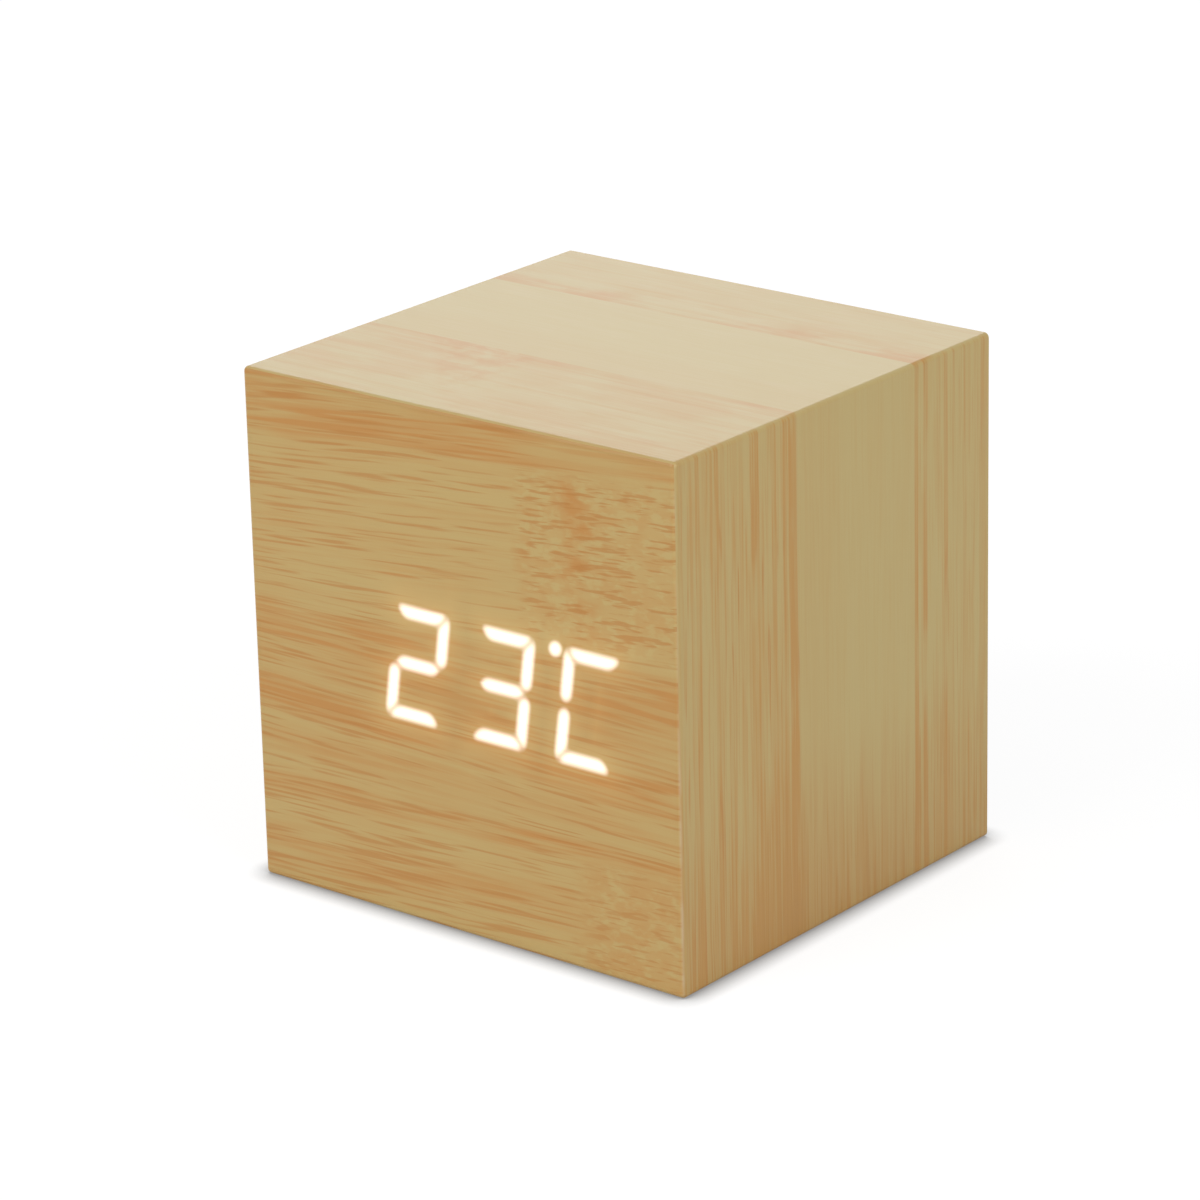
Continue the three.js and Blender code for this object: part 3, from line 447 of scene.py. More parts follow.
def lit_distance(light, x, z):
    """Distance in millimetres from the lit figures, which read 23, a degree dot and C."""
    half = light.segment * MM / 2
    gap = light.gap * MM / (2 * math.sqrt(2))
    right = light.width * MM / 2 - half
    top = light.height * MM / 2 - half
    bite = light.corner * MM / 2
    blur = 0.8  # how far the film softens the figures' corners
    blunt = 0.32  # how far the segments' points are cut back
    middle = (mask_low + mask_high) / 2 * MM
    rise = z - (middle.z + light.lift * MM)
    run = x - (middle.x + light.aside * MM) - rise * math.tan(light.slant)
    tall = abs(rise)

    def digit(centre, side, has_middle):
        """Distance from one figure. Its side is above 0 where it has no upright."""
        from_centre = run - centre
        wide = abs(from_centre)
        inward = (wide - tall - (right - top - 2 * gap)) / math.sqrt(2)
        outward = (wide + tall - (right + top + 2 * half - 2 * bite)) / math.sqrt(2)
        level = abs(tall - top) - half
        bars = level.rounded_most(inward, blur).rounded_most(outward, blur)
        bars = bars.rounded_most(wide - right - blunt / 2, blur)
        shoulder = (right - wide - tall + 2 * gap) / math.sqrt(2)
        toe = (wide - right - tall + 2 * gap) / math.sqrt(2)
        corner = (tall - wide - (top - right - 2 * gap)) / math.sqrt(2)
        column = (abs(wide - right) - half).rounded_most(shoulder, blur).rounded_most(toe, blur)
        column = column.rounded_most(corner, blur).rounded_most(outward, blur)
        column = column.rounded_most(blunt - tall, blur).most(side(from_centre))
        figure = bars.rounded_least(column, blur)
        if has_middle:
            tip = (wide + tall - (right - 2 * gap)) / math.sqrt(2)
            bar = (tall - half).rounded_most(tip, blur)
            figure = figure.rounded_least(bar.rounded_most(wide - right + blunt / 2, blur), blur)
        return figure

    pitch = light.pitch * MM
    two = digit(-pitch / 2, lambda across: -across * rise * 2, True)
    three = digit(pitch / 2, lambda across: -across, True)
    letter = digit(1.5 * pitch, lambda across: across, False)
    dot_x = run - (pitch + light.dot_shift * MM)
    dot_z = rise - light.dot_rise * MM
    dot = (dot_x * dot_x + dot_z * dot_z) ** 0.5 - light.dot * MM / 2
    return two.least(three).least(letter).least(dot)


# Dense rows of streaks on the front: start and end in millimetres below the top edge, and how dense.
FRONT_ROWS = (
    (-9, 4.6, 1.0),
    (25.5, 30.5, 0.85),
    (30.5, 36, 0.5),
    (36, 39.5, 0.9),
    (41.2, 43.4, 0.4),
    (45.4, 48, 0.8),
    (52, 57, 0.4),
)


def front_print(finish, film, x, z):
    """The front's bamboo: rows of streaks, dashes on the paler ground between them, and two knuckles."""
    right = x - case_low.x * MM
    down = case_high.z * MM - z
    middle = (case_high.x - case_low.x) * MM / 2

    # The grain climbs to the right at the top and at the foot, and sways a little everywhere.
    lean = 0.085 * down.below(26, 8) + 0.05 * down.above(42, 48)
    sway = (finish.grain(right, down, long=50, wide=16, seed=1.7) - 0.5) * 1.2
    across = down + lean * (right - middle) + sway

    broad = finish.grain(right, across, long=30, wide=1.7, seed=4.2, detail=3).above(0.38, 0.62)
    thin = finish.grain(right, across, long=18, wide=0.56, seed=9.1, detail=1).above(0.42, 0.62)
    fibre = finish.grain(right, across, long=9, wide=0.2, seed=12.4)
    patch = finish.grain(right, across, long=16, wide=4, seed=14.6).above(0.32, 0.62)
    row = 0
    for start, end, dense in FRONT_ROWS:
        row += across.between(start, end, 0.9) * dense
    row *= 0.65 + 0.4 * patch
    streaks = 0.03 + 0.12 * patch + 0.19 * thin * broad + row * (0.25 + 0.32 * broad + 0.47 * thin)

    # Dashes thin out towards the right of the upper ground.
    crowd = 0.04 * right.below(21, 9) + 0.04 * across.above(38, 50)
    dashes = finish.grain(right, across, long=11, wide=0.43, seed=20.3, detail=1) + crowd

    # Knuckles break the grain up: a dark column, blotches and short flecks.
    ragged = (finish.noise(finish.point(right / 4, down / 3, 3.3)) - 0.5) * 8
    upper_knuckle = (right + 0.4 * ragged).above(37.5, 40) * across.between(5.5, 24, 1.5)
    lower_knuckle = (right + ragged).above(43, 50) * across.above(46, 50)
    knuckle = upper_knuckle.most(lower_knuckle)
    column = (right + ragged).between(45, 48.5, 1.6) * upper_knuckle
    blotch = finish.noise(finish.point(right / 4, across / 2.4, 8.2), 4.0).above(0.4, 0.62)
    spots = finish.noise(finish.point(right / 1.7, across / 0.9, 5.5)).above(0.45, 0.65)
    flecks = finish.grain(right, across, long=3.2, wide=0.38, seed=31.5, detail=1).above(0.53, 0.67)

    mottled = 0.22 + column * (0.15 + 0.45 * blotch) + 0.14 * lower_knuckle + 0.22 * blotch - 0.36 * spots
    salmon = streaks + (mottled - streaks) * knuckle
    dash = dashes.above(0.56, 0.73) * (1 - knuckle) * 0.62
    dash += knuckle * flecks * (0.64 + 0.1 * column - 0.12 * lower_knuckle)
    tone = finish.mix(salmon + (fibre - 0.5) * 0.22, film.pale, film.salmon)
    tone = finish.mix(dash, tone, film.dash)

    # The top edge, where the print turns over it, is darkened with the foot tint: painted shade that holds
    # back the rounded edge's highlight.
    return finish.mix(down.below(0.5, 0.3) * 0.5, tone, film.foot), fibre


def rubbed_edge(finish, film, from_edge, z):
    """How far the film is rubbed pale beside an upright edge: more towards the foot, and unevenly."""
    uneven = 0.35 + 0.65 * finish.grain(z, z, long=6, wide=6, seed=7.3).above(0.35, 0.6)
    low = 1 - 0.7 * z.above(15, 45)
    return from_edge.below(0.25, 0.2) * uneven * low * film.wear


def lit_front_film(finish, film, light):
    """The front film: its print, worn on the upright edges, and the light of the figures behind it."""
    x, _, z = finish.place()
    tone, fibre = front_print(finish, film, x, z)
    # Upright edges made pale: wear and painted highlight.
    tone = finish.mix(rubbed_edge(finish, film, case_high.x * MM - abs(x), z), tone, film.edge)
    distance = lit_distance(light, x, z)
    core = distance.below(-0.1, 0.45)
    fade = finish.maths("POWER", math.e, -(distance.most(0) / (light.reach * MM)))
    shine = finish.both(finish.shade(light.lit, core), finish.shade(light.glow, fade))
    return finish.surface({
        "Base Color": tone,
        "Roughness": film.roughness + (fibre - 0.5) * 0.12,
        "Normal": finish.relief(fibre, depth=0.012),
        "Emission Color": shine,
        "Emission Strength": 1.0,
    })


# Salmon lines along the back strip of the wrap: millimetres from its inner edge, how wide, and how strong.
BACK_LINES = (
    (0.0, 0.7, 0.6),
    (1.6, 0.8, 0.6),
    (5.6, 0.7, 0.5),
    (9.3, 0.4, 0.4),
    (10.4, 0.3, 0.35),
    (12.6, 1.2, 0.25),
)
# The same along the front strip, from its inner edge towards the front.
FRONT_LINES = (
    (0.2, 1.4, 0.6),
    (1.9, 0.7, 0.4),
    (3.8, 0.8, 0.4),
    (6.8, 1.5, 0.4),
    (9.5, 0.7, 0.4),
    (13.8, 0.7, 0.4),
    (17.0, 0.7, 0.35),
)


def wrap_print(finish, film, along, y):
    """The wrap's bamboo: three strips that run round the case, streaked along their length."""
    front_edge = (case_low.y + film.front_strip) * MM
    back_edge = front_edge + film.middle_strip * MM
    wander = (finish.grain(along, y, long=60, wide=12, seed=2.6) - 0.5) * 0.5
    across = y + wander

    front = y.below(front_edge, 0.1)
    back = y.beyond(back_edge, 0.1)
    plain = 1 - front.most(back)

    lines = finish.grain(along, across, long=30, wide=0.95, seed=5.3, detail=3).above(0.44, 0.62)
    hairs = finish.grain(along, across, long=16, wide=0.38, seed=11.8, detail=2).above(0.48, 0.62)
    fibre = finish.grain(along, across, long=9, wide=0.2, seed=17.2)
    strength = finish.grain(along, across, long=14, wide=3, seed=23.9).above(0.25, 0.55)
    cloud = finish.grain(along, across, long=9, wide=3.2, seed=19.7, detail=3).above(0.35, 0.65)

    # The print on the top is faded, as painted sheen that washes out its contrast there, and it is more
    # blotched than on the sides.
    half = case_high.x * MM
    on_top = along.between(-half, half, 0.6)
    contrast_under_painted_sheen = 1 - 0.62 * on_top
    salmon = front * (0.18 + 0.24 * lines + 0.34 * hairs) + plain * (0.03 + 0.06 * lines + 0.1 * hairs)
    salmon += back * (0.06 + 0.16 * lines + 0.26 * hairs)
    for start, width, amount in BACK_LINES:
        line = across.between(back_edge + start, back_edge + start + width, 0.12)
        salmon += back * line * strength * amount
    for start, width, amount in FRONT_LINES:
        line = across.between(front_edge - start - width, front_edge - start, 0.15)
        salmon += front * line * strength * amount
    # Streaks fainter on the top: painted sheen.
    salmon *= contrast_under_painted_sheen
    salmon += plain * 0.1 * y.below(front_edge + 7, 2)
    salmon += on_top * back * cloud * (0.16 + 0.58 * y.below(back_edge + 4.5, 2.5))

    # A knuckle of the front strip on the top, wider towards the strip's inner edge.
    blotch = finish.noise(finish.point(along / 2.4, across / 1.6, 13.1), 3.0).above(0.36, 0.6)
    from_edge = front_edge - across
    knuckle = (along - 0.9 * from_edge).above(-22, -18) * along.below(-5, 1.5) * front
    border = from_edge.between(0.1, 1.1, 0.3) * strength
    salmon += knuckle * blotch * 0.44 + on_top * front * (0.36 * cloud + 0.34 * border - 0.01)

    # Browner towards the foot of the right side and on under the case, least at the front and the back:
    # partly print, partly painted shade towards the floor.
    reach = (finish.grain(along, across, long=60, wide=4, seed=36.2) - 0.5) * 16
    foot = (along + reach).between(79, 125, 13) * (0.6 + 0.4 * across.between(-14, 14, 6))
    salmon += foot * (0.5 + 0.25 * lines + 0.25 * hairs)
    # The fibre is fainter on the top too: painted sheen.
    tone = finish.mix(salmon + (fibre - 0.5) * 0.24 * contrast_under_painted_sheen, film.wrap_pale, film.wrap_salmon)
    dash = hairs * finish.grain(along, across, long=12, wide=1.1, seed=29.4, detail=1).above(0.6, 0.7)
    # Fewer dashes on the top: painted sheen.
    dash *= (front + 0.5 * back) * (0.5 - 0.4 * on_top)
    tone = finish.mix(dash, tone, film.dash)
    # The foot tint here is partly print and partly painted shade.
    return finish.mix(foot * (0.24 + 0.14 * hairs), tone, film.foot), fibre


def filmed_board(finish, film, path):
    """A board of the wrap: printed film outside, fibreboard where it is cut.

    The path gives the place along the wrap from X and Z, so that the print runs on over the edges.
    """
    x, y, z = finish.place()
    half = case_middle.z * MM
    printed, fibre = wrap_print(finish, film, path(x, z), y)
    outer = abs(x).most(abs(z - half))
    # Pale beside the front's upright edges: partly wear, partly a painted highlight of the rounded edge.
    rubbed = rubbed_edge(finish, film, y - case_low.y * MM, z) * abs(x).above(half - 1, half - 0.5)
    printed = finish.mix(rubbed, printed, film.edge)
    raw, fleck = fibreboard_tone(finish)
    covered = outer.beyond(half - film.thickness * MM, 0.03)
    covered = covered.most(y.below(case_low.y * MM + FILM_TURN + 0.05, 0.05))
    height = fleck + (fibre * 0.2 - fleck) * covered
    satin = film.roughness + (fibre - 0.5) * 0.12
    return finish.surface({
        "Base Color": finish.mix(covered, raw, printed),
        "Roughness": RAW_ROUGHNESS + (satin - RAW_ROUGHNESS) * covered,
        "Normal": finish.relief(height, depth=0.06),
    })


def milky_plastic(finish):
    """Moulded white plastic with faint flow clouds."""
    cloud = finish.speckle(6, seed=1.3)
    grit = finish.speckle(0.2, seed=5.2)
    satin = 0.42 + 0.16 * cloud
    return finish.clouded(cloud, (0.74, 0.74, 0.7), (0.84, 0.84, 0.8), satin, grit, depth=0.01)


def laminate(finish, first, second):
    """The sockets of a circuit board: green solder mask over copper tracks and tinned pads."""
    lane = second / TRACK_PITCH
    within = finish.maths("FRACT", lane)
    number = finish.maths("FLOOR", lane)
    run = finish.noise(finish.point(first / 7, number * 1.7, 4.4), 0.0).above(0.47, 0.5)
    track = within.between(0.28, 0.72, 0.06) * run
    place = first / PAD_PITCH
    column = finish.maths("FLOOR", place)
    pad_here = finish.noise(finish.point(number * 3.1, column * 2.3, 7.7), 0.0).above(0.58, 0.6)
    pad = within.between(0.2, 0.8, 0.06) * finish.maths("FRACT", place).between(0.3, 0.6, 0.04) * pad_here
    cloud = finish.speckle(3, seed=2.2)
    ground = finish.mix(cloud, (0.012, 0.085, 0.034), (0.018, 0.115, 0.047))
    tone = finish.mix(track * 0.8, ground, (0.03, 0.2, 0.08))
    return {
        "Base Color": finish.mix(pad, tone, (0.62, 0.61, 0.57)),
        "Metallic": pad * 0.9,
        "Roughness": 0.32 + 0.06 * track,
        "Normal": finish.relief(track.most(pad), depth=0.035),
    }


def control_laminate(finish):
    """The control board, which lies level."""
    x, y, _ = finish.place()
    return finish.surface(laminate(finish, x, y))


def diode_laminate(finish, plate_front):
    """The display board, which stands upright: laminate, with white diodes on its front."""
    x, y, z = finish.place()
    sockets = laminate(finish, x, z)
    diode = y.below(plate_front * MM - 0.04, 0.02)
    cloud = finish.speckle(0.5, seed=9.3)
    white = finish.mix(cloud, (0.75, 0.72, 0.5), (0.82, 0.82, 0.76))
    sockets["Base Color"] = finish.mix(diode, sockets["Base Color"], white)
    sockets["Metallic"] *= 1 - diode
    return finish.surface(sockets)


def plated_steel(finish):
    """Nickel plating with fine drawing lines and a few dull spots."""
    x, y, z = finish.place()
    lines = finish.noise(finish.point(x / 0.06, y / 1.4, z / 0.06))
    dull = finish.speckle(1.7, seed=6.1)
    tone = finish.mix(dull, (0.5, 0.5, 0.51), (0.64, 0.63, 0.61))
    rough = 0.24 + 0.12 * lines + 0.14 * dull.above(0.55, 0.75)
    bump = finish.relief(lines, depth=0.004)
    return finish.surface({"Base Color": tone, "Metallic": 1.0, "Roughness": rough, "Normal": bump})


def moulded_black(finish):
    """The black of the small parts on the boards."""
    cloud = finish.speckle(1.2, seed=4.7)
    grit = finish.speckle(0.12, seed=7.9)
    satin = 0.42 + 0.16 * cloud
    return finish.clouded(cloud, (0.016, 0.016, 0.018), (0.03, 0.03, 0.032), satin, grit, depth=0.008)


def spark_textured_black(finish, back):
    """The moulded back: a fine spark-eroded texture, a little duller in patches."""
    patch = finish.speckle(9, seed=3.6)
    pits = finish.speckle(0.22, seed=12.8, detail=3)
    dark = scaled(back.plastic, 0.75)
    light = scaled(back.plastic, 1.5)
    satin = 0.46 + 0.12 * patch + 0.1 * pits
    return finish.clouded(patch * 0.5 + pits * 0.5, dark, light, satin, pits, depth=0.02)


def stamped_white(finish):
    """White foil stamped on the marks, worn thin in places."""
    worn = finish.speckle(0.5, seed=1.9)
    grit = finish.speckle(0.1, seed=4.8)
    thin = worn.above(0.5, 0.75)
    satin = 0.4 + 0.2 * worn
    return finish.clouded(thin, (0.62, 0.62, 0.6), (0.36, 0.36, 0.35), satin, grit, depth=0.006)


def rubbed_button(finish, back):
    """Smooth black plastic, rubbed brighter by fingers here and there."""
    rub = finish.speckle(2.4, seed=8.8)
    grit = finish.speckle(0.15, seed=2.9)
    dark = scaled(back.button, 0.8)
    light = scaled(back.button, 1.35)
    return finish.clouded(rub, dark, light, 0.42 - 0.16 * rub, grit, depth=0.005)


def foil_jacket(finish, cells, low, high, side):
    """A cell: plain two-tone jacket with a plus sign, bare steel on its ends."""
    x, y, z = finish.place()
    middle = (low + high) / 2 * MM
    along = (x - middle.x) * side
    off_y = y - middle.y
    off_z = z - middle.z
    radius = (off_y * off_y + off_z * off_z) ** 0.5
    positive_end = (high.x - low.x) / 2 * MM - cells.nub_height * MM
    jacket_radius = (high.z - low.z) / 2 * MM
    bare = radius.below(jacket_radius - JACKET_LAP, 0.05)

    band_start = positive_end - cells.band_length * MM
    stripe_end = band_start - STRIPE_GAP
    band = along.beyond(band_start, 0.05)
    stripe = along.between(stripe_end - STRIPE, stripe_end, 0.05)
    sign_x = abs(along - (positive_end - cells.band_length * MM / 2))
    sign_z = abs(off_z)
    bar = sign_x.below(PLUS_REACH, 0.05) * sign_z.below(PLUS_HALF, 0.03)
    post = sign_z.below(PLUS_REACH, 0.05) * sign_x.below(PLUS_HALF, 0.03)
    sign = bar.most(post) * band * off_y.above(0, 0.5)

    scuff = finish.speckle(1.1, seed=5.9)
    tone = finish.mix(band.most(stripe), cells.jacket, cells.band)
    tone = finish.mix(sign, tone, scaled(cells.jacket, 0.5))
    tone = finish.mix(scuff.above(0.5, 0.8) * 0.25, tone, (0.3, 0.31, 0.32))
    tone = finish.mix(bare, tone, (0.6, 0.6, 0.6))
    return finish.surface({
        "Base Color": tone,
        "Metallic": 0.35 + 0.65 * bare,
        "Roughness": 0.28 + 0.14 * scuff,
        "Normal": finish.relief(scuff, depth=0.006),
    })


def wire_sleeve(finish, dark, light):
    """Soft insulation of a wire, a little uneven in colour."""
    cloud = finish.speckle(0.9, seed=3.9)
    grit = finish.speckle(0.1, seed=6.6)
    return finish.clouded(cloud, dark, light, 0.4 + 0.15 * cloud, grit, depth=0.01)


def ribbon_sleeve(finish):
    """Grey ribbon cable: a ridge over each wire, and one edge wire marked red."""
    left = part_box("ribbon_cable")[0].x
    lane = (finish.place()[0] - left * MM) / RIBBON_PITCH
    ridge = finish.maths("PINGPONG", lane, 0.5) * 2
    cloud = finish.speckle(1.5, seed=4.1)
    grey = finish.mix(cloud, (0.26, 0.26, 0.27), (0.34, 0.34, 0.35))
    # The grooves between the wires are darkened: painted shade.
    grey = finish.mix(ridge.above(0.15, 0.5), finish.shade(grey, 0.6), grey)
    marked = lane.below(0.975, 0.025)
    tone = finish.mix(marked, grey, (0.35, 0.03, 0.03))
    bump = finish.relief(ridge, depth=0.2)
    return finish.surface({"Base Color": tone, "Roughness": 0.42 + 0.1 * cloud, "Normal": bump})


def dress(finish, *nodes):
    """Gives CAD nodes that stay a finish."""
    for node in nodes:
        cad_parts[node].material_slots[0].material = finish


def piece(name, shape, finish, slot, body, *nodes):
    """Makes a bmesh a piece that rides on a body and stands for these CAD nodes."""
    for edge in shape.edges:
        edge.smooth = edge.is_manifold and edge.calc_face_angle() < SHARP
    for face in shape.faces:
        face.smooth = True
    mesh = bpy.data.meshes.new(name)
    shape.to_mesh(mesh)
    shape.free()
    mesh.materials.append(finish)
    made = bpy.data.objects.new(name, mesh)
    bpy.context.scene.collection.objects.link(made)
    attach(made, body)
    if nodes:
        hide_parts(*nodes)
    return made


def settle(shape):
    """Closes seams and poles, and turns the faces outwards."""
    bmesh.ops.remove_doubles(shape, verts=shape.verts, dist=MERGE)
    bmesh.ops.recalc_face_normals(shape, faces=shape.faces)
    return shape


def merged_copy(node):
    """A CAD node's shape with its loose triangles joined up."""
    shape = bmesh.new()
    shape.from_mesh(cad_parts[node].data)
    bmesh.ops.remove_doubles(shape, verts=shape.verts, dist=MERGE)
    return shape


def moulded_copy(node, edge):
    """A CAD node's shape with its sharp edges rounded, as a mould leaves them."""
    shape = merged_copy(node)
    bmesh.ops.dissolve_limit(shape, angle_limit=FLAT, verts=shape.verts, edges=shape.edges)
    bmesh.ops.triangulate(shape, faces=shape.faces)
    flat = [line for line in shape.edges if line.is_manifold and line.calc_face_angle() < FLAT]
    bmesh.ops.beautify_fill(shape, faces=shape.faces, edges=flat)
    sharp = [line for line in shape.edges if line.is_manifold and line.calc_face_angle() > SHARP]
    bmesh.ops.bevel(
        shape, geom=sharp, affect="EDGES", offset_type="OFFSET", offset=edge,
        segments=2, profile=0.5, material=-1, face_strength_mode="ALL",
    )
    bmesh.ops.dissolve_degenerate(shape, dist=MERGE, edges=shape.edges)

    # Slivers beside the roundings can end up folded over a neighbour, so each pair is joined and cut anew.
    folded = [line for line in shape.edges if line.is_manifold and line.calc_face_angle() > math.pi - FLAT]
    joined = bmesh.ops.dissolve_edges(shape, edges=folded)["region"]
    bmesh.ops.triangulate(shape, faces=joined)
    return shape


def is_mitre(face):
    """True where a board is cut at 45 degrees to meet its neighbour, false on a rounded edge."""
    from_middle = face.calc_center_median() - case_middle
    leans = [lean * place for lean, place in zip(face.normal, from_middle) if abs(lean) > MITRE_LEAN]
    return len(leans) == 2 and leans[0] * leans[1] < 0


def lapped_copy(node):
    """A filmed CAD node's shape with its mitres moved together, because the film runs over the joints."""
    shape = merged_copy(node)
    mitres = {}
    for face in shape.faces:
        if is_mitre(face):
            mitres.setdefault(face.normal.to_tuple(2), set()).update(face.verts)
    for facing, corners in mitres.items():
        shift = Vector(facing).normalized() * GLUE_LINE / math.sqrt(2)
        bmesh.ops.translate(shape, verts=list(corners), vec=shift)
    return shape


def even_normals(made):
    """Keeps large flats flat beside rounded edges."""
    modifier = made.modifiers.new("even_normals", "WEIGHTED_NORMAL")
    modifier.keep_sharp = True
    modifier.use_face_influence = True


def spun(profile, foot, axis):
    """A turned shape, from points of radius and height above its foot."""
    across = axis.orthogonal().normalized()
    shape = bmesh.new()
    corners = [shape.verts.new(foot + axis * height + across * radius) for radius, height in profile]
    lines = [shape.edges.new(pair) for pair in zip(corners, corners[1:])]
    bmesh.ops.spin(
        shape, geom=corners + lines, cent=foot, axis=axis, dvec=(0, 0, 0),
        angle=FULL_TURN, steps=ROUND_STEPS, use_merge=True,
    )
    return settle(shape)


def rounded_rim(radius, height, rounding, steps=6):
    """Profile points round an outer rim, from its side to its top."""
    turns = [math.pi / 2 * step / steps for step in range(steps + 1)]
    return [
        (radius - rounding + rounding * math.cos(turn), height - rounding + rounding * math.sin(turn))
        for turn in turns
    ]


def button_shape(back, low, high):
    """A turned button: stem, flange, and a cap with a rounded rim and a dished top."""
    middle = (low + high) / 2
    foot = Vector((middle.x, low.y, middle.z))
    tall = high.y - low.y
    cap = back.cap / 2
    flange = (high.x - low.x) / 2
    shoulder = back.stem + back.flange
    profile = [
        (0, 0),
        (back.stem, 0),
        (back.stem, back.stem),
        (flange, back.stem),
        (flange, shoulder),
        (cap, shoulder),
        *rounded_rim(cap, tall, back.rim),
    ]
    shares = [step / DISH_STEPS for step in reversed(range(DISH_STEPS))]
    profile += [((cap - back.rim) * share, tall - back.dish * (1 - share * share)) for share in shares]
    return spun(profile, foot, BACKWARD)


def screw_shape(low, high, turn):
    """A cross-head screw along Y: pointed threaded shank, rounded head and a sunk cross."""
    middle = (low + high) / 2
    foot = Vector((middle.x, low.y, middle.z))
    tall = high.y - low.y
    head = (high.x - low.x) / 2
    shank = head / 2
    root = shank * THREAD_ROOT
    under = tall - SCREW_HEAD

    profile = [(0, 0)]
    for ring in range(1, int(under / THREAD_PITCH)):
        taper = min(1, ring * THREAD_PITCH / (2 * shank))
        profile += [(root * taper, (ring - 0.5) * THREAD_PITCH), (shank * taper, ring * THREAD_PITCH)]
    profile += [(root, under - THREAD_PITCH / 2), (root, under), (head, under)]
    profile += rounded_rim(head, tall, SCREW_ROUND)
    shape = spun(profile, foot, BACKWARD)

    # The cross: the flat of the head is cut along the sides of both slots, and what they share is sunk.
    crown = foot + BACKWARD * tall
    lip = [line for line in shape.edges if line.is_boundary]
    flat = bmesh.ops.contextual_create(shape, geom=lip)["faces"]
    turned = Matrix.Rotation(turn, 3, "Y")
    slots = (turned @ SIDEWAYS, turned @ UP)
    for across in slots:
        for reach in (-CROSS_REACH, -CROSS_HALF, CROSS_HALF, CROSS_REACH):
            parts = {item for face in flat for item in (face, *face.edges, *face.verts)}
            cut = bmesh.ops.bisect_plane(
                shape, geom=list(parts), dist=MERGE, plane_co=crown + across * reach, plane_no=across
            )
            flat = [item for item in cut["geom"] if isinstance(item, bmesh.types.BMFace)]

    def in_slot(face):
        """True for a cut of the flat that lies in one of the slots."""
        near, far = sorted(abs((face.calc_center_median() - crown).dot(across)) for across in slots)
        return near < CROSS_HALF and far < CROSS_REACH

    cross = [face for face in flat if in_slot(face)]
    sunk = bmesh.ops.extrude_face_region(shape, geom=cross)["geom"]
    bmesh.ops.delete(shape, geom=cross, context="FACES")
    floor = [item for item in sunk if isinstance(item, bmesh.types.BMVert)]
    bmesh.ops.translate(shape, verts=floor, vec=-BACKWARD * CROSS_DEPTH)
    bmesh.ops.scale(
        shape, verts=floor, vec=(CROSS_TAPER, 1, CROSS_TAPER), space=Matrix.Translation(-crown)
    )
    return settle(shape)


# The ends of a cell, from the middle of its foot to its nub: share of the radius, and depth in crimps.
CELL_FOOT = ((0, 0.5), (0.66, 0.5), (0.74, 0), (0.9, 0), (0.97, 0.5), (1, 1.6))
CELL_TOP = ((1, 2), (0.985, 1), (0.93, 0.25), (0.86, 0), (0.8, 0.5), (0.62, 0.5), (0.56, 0.25))


def cell_shape(cells, low, high, side):
    """A turned cell: crimped jacket, steel ends and a nub at its positive end."""
    middle = (low + high) / 2
    axis = SIDEWAYS * side
    tall = high.x - low.x
    foot = middle - axis * tall / 2
    radius = (high.z - low.z) / 2
    top = tall - cells.nub_height
    profile = [(radius * share, CRIMP * deep) for share, deep in CELL_FOOT]
    profile += [(radius * share, top - CRIMP * deep) for share, deep in CELL_TOP]
    profile += [(cells.nub, top - CRIMP / 4), *rounded_rim(cells.nub, tall, CRIMP), (0, tall)]
    return spun(profile, foot, axis)


def raised_triangle(middle, size, points_up, rise):
    """A small triangle on a face that looks backwards, pointing up or down."""
    shape = bmesh.new()
    bmesh.ops.create_circle(shape, cap_ends=True, segments=3, radius=size)
    face = bmesh.ops.extrude_face_region(shape, geom=list(shape.faces))["geom"]
    lifted = [item for item in face if isinstance(item, bmesh.types.BMVert)]
    bmesh.ops.translate(shape, verts=lifted, vec=UP * rise)
    turn = math.pi if points_up else 0
    standing = Matrix.Rotation(-math.pi / 2, 4, "X") @ Matrix.Rotation(turn, 4, "Z")
    bmesh.ops.transform(shape, matrix=Matrix.Translation(middle) @ standing, verts=shape.verts)
    settle(shape)
    bmesh.ops.bevel(
        shape, geom=list(shape.edges), affect="EDGES", offset_type="OFFSET", offset=rise / 4,
        segments=2, profile=0.5, material=-1,
    )
    return shape


def raised_ring(middle, size, rise):
    """A small moulded ring on a face that looks backwards."""
    inner = size * RING_BORE
    soft = rise / 4
    profile = [
        (inner, 0),
        (inner, rise - soft),
        (inner + soft, rise),
        (size - soft, rise),
        (size, rise - soft),
        (size, 0),
        (inner, 0),
    ]
    return spun(profile, middle, BACKWARD)


def smooth_sleeve(node):
    """A CAD wire's shape in four-sided faces, ready to be smoothed."""
    shape = merged_copy(node)
    bmesh.ops.join_triangles(
        shape, faces=shape.faces, angle_face_threshold=SHARP, angle_shape_threshold=math.pi
    )
    return shape


class CLOCK_OT_front(bpy.types.Operator):
    """Prints the front film and lights the figures in it"""

    bl_idname = "clock.front"
    bl_label = "Front"

    def execute(self, context):
        scene = context.scene
        film = material(lit_front_film, scene.clock_film, scene.clock_light)
        shape = lapped_copy("front_film")
        even_normals(piece("lapped_front_film", shape, film, "bamboo_film", CASE, "front_film"))
        dress(material(raw_fibreboard), "front_board")
        return {"FINISHED"}


class CLOCK_OT_wrap(bpy.types.Operator):
    """Prints the four boards that are folded round the case"""

    bl_idname = "clock.wrap"
    bl_label = "Wrap"

    def execute(self, context):
        side = case_high.z * MM
        half = side / 2
        paths = {
            "top_board": lambda x, z: x,
            "right_board": lambda x, z: half + side - z,
            "bottom_board": lambda x, z: 2 * side - x,
            "left_board": lambda x, z: z - side - half,
        }
        for node, path in paths.items():
            film = material(filmed_board, context.scene.clock_film, path, name=f"filmed_{node}")
            even_normals(piece(f"lapped_{node}", lapped_copy(node), film, "bamboo_board", CASE, node))
        return {"FINISHED"}


